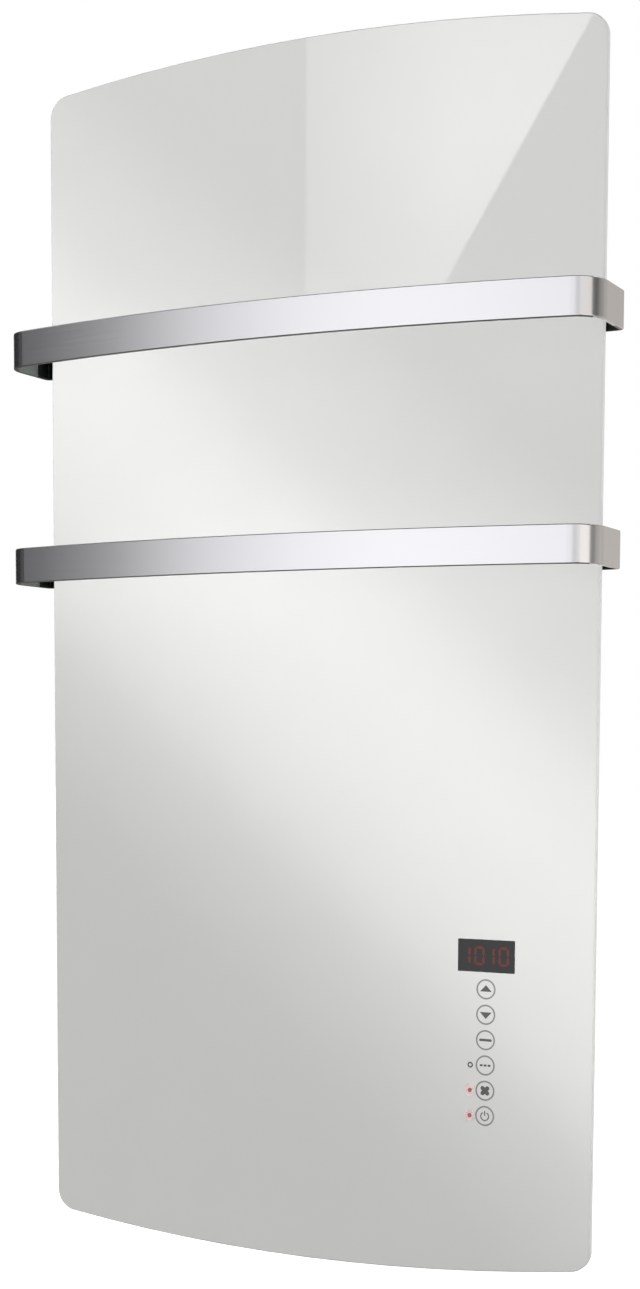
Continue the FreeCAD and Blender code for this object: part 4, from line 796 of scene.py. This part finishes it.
class RAIL_OT_stage(bpy.types.Operator):
    """Set up the floor, the light, the cards that glass and metal mirror, and the camera"""
    bl_idname = "rail.stage"
    bl_label = "Studio"

    # The camera's place, its yaw, pitch and roll, and how far its picture is shifted.
    eye = Vector((0.7539, -1.5894, -0.06))
    aim = (0.45724, -0.0851, 0.00359)
    picture_shift = 0.205
    # The floor, how far from the middle of the rail it starts to whiten and is whitest, and by how much.
    floor_level = -1.0
    whiten_reach, whiten_share = (1.5, 2.4), (0.45, 0.95)
    # The softbox, and where it shows on the glass: its left and lower edges, its upper right corner, the lean of
    # its right edge, and its strength at the left edge and what is added up to a line right of it.
    softbox_depth = -1.6
    pane_left, pane_foot = -0.0038, 0.272
    pane_corner, pane_lean = (0.2354, 0.4781), 0.6365
    pane_strength, pane_gain, pane_gain_to = 3.5, 7.2, 0.13
    # The spot's distance from the glass, its cone and the slant of the band.
    spot_distance = 3.0
    spot_cone = math.radians(26.0)
    band_slant = 0.861
    # Heights of the cards between which their strength changes.
    card_low, card_high = 0.23, 0.59

    def glow(self, name):
        """A material that only shines, with its place on the card."""
        made = bpy.data.materials.new(name)
        made.use_nodes = True
        tree = made.node_tree
        tree.nodes.remove(tree.nodes["Principled BSDF"])
        light = add(tree, "ShaderNodeEmission")
        feed(tree.nodes["Material Output"], {"Surface": light})
        split = add(tree, "ShaderNodeSeparateXYZ", [add(tree, "ShaderNodeTexCoord").outputs["Object"]])
        return made, tree, light, split.outputs

    def card(self, name, middle, size, turned, finish):
        """A flat card that only mirrors see."""
        made = plate(middle, size, turned)
        made.name = name
        made.data.materials.append(finish)
        made.visible_camera = made.visible_diffuse = made.visible_transmission = made.visible_shadow = False
        return made

    def ramp(self, tree, value, stops, tinge=WHITE):
        """Turn a value into a share of light, through stops of a value and a share, of which two ends come first."""
        low, high = stops[0][0], stops[1][0]
        made = add(tree, "ShaderNodeValToRGB", [add(tree, "ShaderNodeMapRange", [value, low, high])])
        marks = made.color_ramp.elements
        for number, (at, tone) in enumerate(stops):
            spot = (at - low) / (high - low)
            mark = marks[number] if number < 2 else marks.new(spot)
            mark.position = spot
            mark.color = (*shade(tinge, tone), 1.0)
        return made

    def world(self, studio):
        """Even light from all round, and plain white for the camera and for mirrors."""
        made = bpy.data.worlds.new("studio")
        bpy.context.scene.world = made
        made.use_nodes = True
        tree = made.node_tree
        tree.nodes.clear()
        path = add(tree, "ShaderNodeLightPath").outputs
        shown = path["Is Camera Ray"]
        for other in ("Is Glossy Ray", "Is Transmission Ray"):
            shown = add(tree, "ShaderNodeMath", [shown, path[other]], operation="MAXIMUM")
        even, white = [add(tree, "ShaderNodeBackground", [WHITE, strength]) for strength in (studio.ambient, 1.0)]
        both = add(tree, "ShaderNodeMixShader", [shown, even, white])
        add(tree, "ShaderNodeOutputWorld", {"Surface": both})

    def floor(self):
        """Pale floor below the hung rail, lifted to white for the camera, least where the shadow falls."""
        made, tree, shader, place = new_finish("pale_floor", linear("C0C0BE"), 0.9)
        reach = add(tree, "ShaderNodeVectorMath", [place], operation="LENGTH")
        white = add(tree, "ShaderNodeMapRange", [reach, *self.whiten_reach, *self.whiten_share])
        seen = add(tree, "ShaderNodeLightPath").outputs["Is Camera Ray"]
        lift = add(tree, "ShaderNodeMath", [seen, white], operation="MULTIPLY")
        feed(shader, {"Emission Color": WHITE, "Emission Strength": lift})
        ground = plate((0.0, 0.0, self.floor_level), (60.0, 60.0), (0.0, 0.0, 0.0))
        ground.name = "floor"
        ground.data.materials.append(made)

    def glass_alone(self):
        """A collection of the glass and its prints, for light that falls on nothing else."""
        made = bpy.data.collections.new("glass_alone")
        made.objects.link(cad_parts["glass_panel"])
        for name in PRINTS:
            made.objects.link(bpy.data.objects[name])
        return made

    def softbox(self, glass):
        """Straight-edged softbox that shows at the top of the glass alone."""
        made, tree, light, split = self.glow("softbox_glow")
        # A point of the card shows where its line to the camera's mirror image crosses the glass.
        image = Vector((self.eye.x, 2 * FRONT - self.eye.y, self.eye.z))
        shrink = (FRONT - image.y) / (self.softbox_depth - image.y)
        across, up = [add(tree, "ShaderNodeMath", [split[axis], shrink, start * (1 - shrink)],
                          operation="MULTIPLY_ADD") for axis, start in (("X", image.x), ("Z", image.z))]
        gain = add(tree, "ShaderNodeMapRange", [across, self.pane_left, self.pane_gain_to, 0.0, self.pane_gain])
        height = self.ramp(tree, up, (
            (0.27, 0.45), (0.5, 0.7), (0.33, 0.65), (0.36, 0.81), (0.39, 0.87), (0.42, 0.95), (0.45, 0.86)))
        pane = add(tree, "ShaderNodeMath", [gain, height, self.pane_strength], operation="MULTIPLY_ADD")
        start = self.pane_corner[0] - self.pane_corner[1] * self.pane_lean
        right = add(tree, "ShaderNodeMath", [up, self.pane_lean, start], operation="MULTIPLY_ADD")
        for greater, smaller in ((across, self.pane_left), (up, self.pane_foot), (right, across)):
            inside = add(tree, "ShaderNodeMath", [greater, smaller], operation="GREATER_THAN")
            pane = add(tree, "ShaderNodeMath", [pane, inside], operation="MULTIPLY")
        feed(light, {"Strength": pane})
        both = add(tree, "ShaderNodeAddShader", [light, add(tree, "ShaderNodeBsdfTransparent")])
        feed(tree.nodes["Material Output"], {"Surface": both})
        box = self.card("softbox", (-0.7, self.softbox_depth, 0.1), (2.0, 2.18), UPRIGHT, made)
        box.light_linking.receiver_collection = glass

    def graded_spot(self, studio, glass):
        """Spot with a slanted soft-edged mask in front, which lays a broad band of light over the glass."""
        alone()
        bpy.ops.object.light_add(type="SPOT", location=(0.0, FRONT - self.spot_distance, 0.0), rotation=UPRIGHT)
        made = bpy.context.active_object
        made.name = "graded_spot"
        made.data.spot_size = self.spot_cone
        made.data.spot_blend = 0.0
        made.data.shadow_soft_size = 0.01
        made.data.energy = studio.band
        made.data.use_shadow = False
        made.visible_camera = made.visible_glossy = False
        made.light_linking.receiver_collection = glass
        made.data.use_nodes = True
        tree = made.data.node_tree
        ray = add(tree, "ShaderNodeSeparateXYZ", [add(tree, "ShaderNodeTexCoord").outputs["Normal"]]).outputs
        wide, tall = [add(tree, "ShaderNodeMath", [ray[axis], ray["Z"]], operation="DIVIDE") for axis in "XY"]
        slant = add(tree, "ShaderNodeMath", [wide, self.band_slant, tall], operation="MULTIPLY_ADD")
        slope = add(tree, "ShaderNodeMath", [slant, -self.spot_distance], operation="MULTIPLY")
        band = self.ramp(tree, slope, (
            (-0.42, 0.37), (0.5, 0.58), (-0.33, 0.39), (-0.25, 0.49), (-0.2, 0.57), (-0.13, 0.79), (-0.06, 0.91),
            (0.03, 0.99), (0.1, 0.94), (0.174, 0.75), (0.26, 0.66), (0.33, 0.56)))
        feed(tree.nodes["Emission"], {"Strength": band})

    def cards(self):
        """Cards round the rail that shape the gleam of the metal, graded along their width and by height."""
        sideways = (math.pi / 2, 0.0, math.pi / 2)
        warm, cream = (1.0, 0.95, 0.86), (1.0, 0.962, 0.885)
        # Low and high are the strengths at card_low and card_high.
        for name, axis, low, high, tinge, middle, size, turned, stops in (
                ("front_card", "X", 1.365, 1.31, WHITE, (-0.9, -1.65, 0.55), (4.6, 3.1), UPRIGHT, (
                    (-3.2, 0.06), (1.4, 0.62), (-2.47, 0.112), (-2.14, 0.202), (-1.86, 0.257), (-1.62, 0.352),
                    (-1.1, 0.703), (-0.65, 0.916), (-0.28, 1.0), (0.1, 0.95), (0.4, 0.88), (0.72, 0.86),
                    (1.05, 0.62))),
                ("left_card", "Y", 1.0, 1.0, WHITE, (-3.2, 0.2, 0.55), (3.7, 3.1), sideways, (
                    (-1.65, 0.09), (2.05, 0.03), (-1.1, 0.09), (-0.5, 0.04))),
                ("right_card_upper", "Y", 1.0, 1.0, cream, (1.9, -0.025, 1.26), (3.25, 1.68), sideways, (
                    (-1.65, 1.0), (1.6, 0.52), (-0.52, 1.0), (-0.36, 0.18), (0.2, 0.14), (0.5, 0.33),
                    (1.2, 0.43))),
                ("right_card_lower", "Y", 1.3, 1.3, cream, (1.9, -0.025, -0.29), (3.25, 1.42), sideways, (
                    (-1.65, 0.98), (1.6, 0.56), (-0.38, 0.98), (-0.22, 0.27), (0.2, 0.23), (0.45, 0.38),
                    (1.2, 0.46))),
                ("rear_card", "X", 1.08, 1.0, warm, (0.675, 1.6, 0.55), (2.45, 3.1), UPRIGHT, (
                    (-0.55, 0.585), (1.9, 0.53), (0.8, 0.585), (1.1, 0.55)))):
            made, tree, light, split = self.glow(name + "_glow")
            grade = self.ramp(tree, split[axis], stops, tinge)
            fall = add(tree, "ShaderNodeMapRange", [split["Z"], self.card_low, self.card_high, low, high])
            feed(light, {"Color": grade, "Strength": fall})
            self.card(name, middle, size, turned, made)

    def lamp(self, name, power, size, place, target, shadow):
        """A soft lamp that mirrors don't show."""
        alone()
        bpy.ops.object.light_add(type="AREA", location=place)
        made = bpy.context.active_object
        made.name = name
        made.data.shape = "SQUARE"
        made.data.size = size
        made.data.energy = power
        made.rotation_euler = (Vector(target) - Vector(place)).to_track_quat("-Z", "Y").to_euler()
        made.data.use_shadow = shadow
        made.data.cycles.use_multiple_importance_sampling = shadow
        made.visible_camera = made.visible_glossy = False

    def camera(self, studio):
        """Camera at the photograph's place."""
        alone()
        bpy.ops.object.camera_add(location=self.eye)
        made = bpy.context.active_object
        yaw, pitch, roll = self.aim
        ahead = Vector((-math.sin(yaw) * math.cos(pitch), math.cos(yaw) * math.cos(pitch), math.sin(pitch)))
        level_view = ahead.to_track_quat("-Z", "Y")
        made.rotation_euler = (level_view @ Quaternion((0.0, 0.0, 1.0), roll)).to_euler()
        made.data.lens = studio.lens
        made.data.shift_y = self.picture_shift
        bpy.context.scene.camera = made

    def execute(self, context):
        studio = context.scene.rail_studio
        glass = self.glass_alone()
        middle = (0.0, 0.0, 0.0)
        self.world(studio)
        self.floor()
        self.softbox(glass)
        self.graded_spot(studio, glass)
        self.cards()
        self.lamp("key_lamp", studio.key, 1.8, (-0.9, -2.6, 1.5), middle, shadow=False)
        for name, x in (("right_lamp", 1.9), ("left_lamp", -1.9)):
            self.lamp(name, studio.side, 1.2, (x, 0.25, 0.1), (0.0, -0.08, 0.0), shadow=False)
        self.lamp("back_lamp", studio.back, 1.8, (-1.2, 2.4, 1.6), middle, shadow=True)
        self.camera(studio)
        context.scene.view_settings.view_transform = "Standard"
        return {"FINISHED"}


OPERATORS = (RAIL_OT_display, RAIL_OT_key_rings, RAIL_OT_key_symbols, RAIL_OT_pilots, RAIL_OT_glass, RAIL_OT_bars,
             RAIL_OT_case, RAIL_OT_heaters, RAIL_OT_blower, RAIL_OT_electrics, RAIL_OT_stage)


class RAIL_PT_panel(bpy.types.Panel):
    """Sizes, colours and steps of the towel rail"""
    bl_idname = "RAIL_PT_panel"
    bl_label = "Towel rail"
    bl_space_type = "VIEW_3D"
    bl_region_type = "UI"
    bl_category = "Towel rail"

    def draw(self, context):
        scene = context.scene
        for group in (scene.rail_prints, scene.rail_colours, scene.rail_studio):
            column = self.layout.column(align=True)
            for name in group.__annotations__:
                column.prop(group, name)
        for step in OPERATORS:
            self.layout.operator(step.bl_idname)


CLASSES = (RailPrints, RailColours, RailStudio, *OPERATORS, RAIL_PT_panel)


def register():
    for kind in CLASSES:
        bpy.utils.register_class(kind)
    bpy.types.Scene.rail_prints = bpy.props.PointerProperty(type=RailPrints)
    bpy.types.Scene.rail_colours = bpy.props.PointerProperty(type=RailColours)
    bpy.types.Scene.rail_studio = bpy.props.PointerProperty(type=RailStudio)


def unregister():
    del bpy.types.Scene.rail_studio
    del bpy.types.Scene.rail_colours
    del bpy.types.Scene.rail_prints
    for kind in reversed(CLASSES):
        bpy.utils.unregister_class(kind)


def main():
    register()
    bpy.ops.rail.display()
    bpy.ops.rail.key_rings()
    bpy.ops.rail.key_symbols()
    bpy.ops.rail.pilots()
    bpy.ops.rail.glass()
    bpy.ops.rail.bars()
    bpy.ops.rail.case()
    bpy.ops.rail.heaters()
    bpy.ops.rail.blower()
    bpy.ops.rail.electrics()
    bpy.ops.rail.stage()


if __name__ == "__main__":
    main()
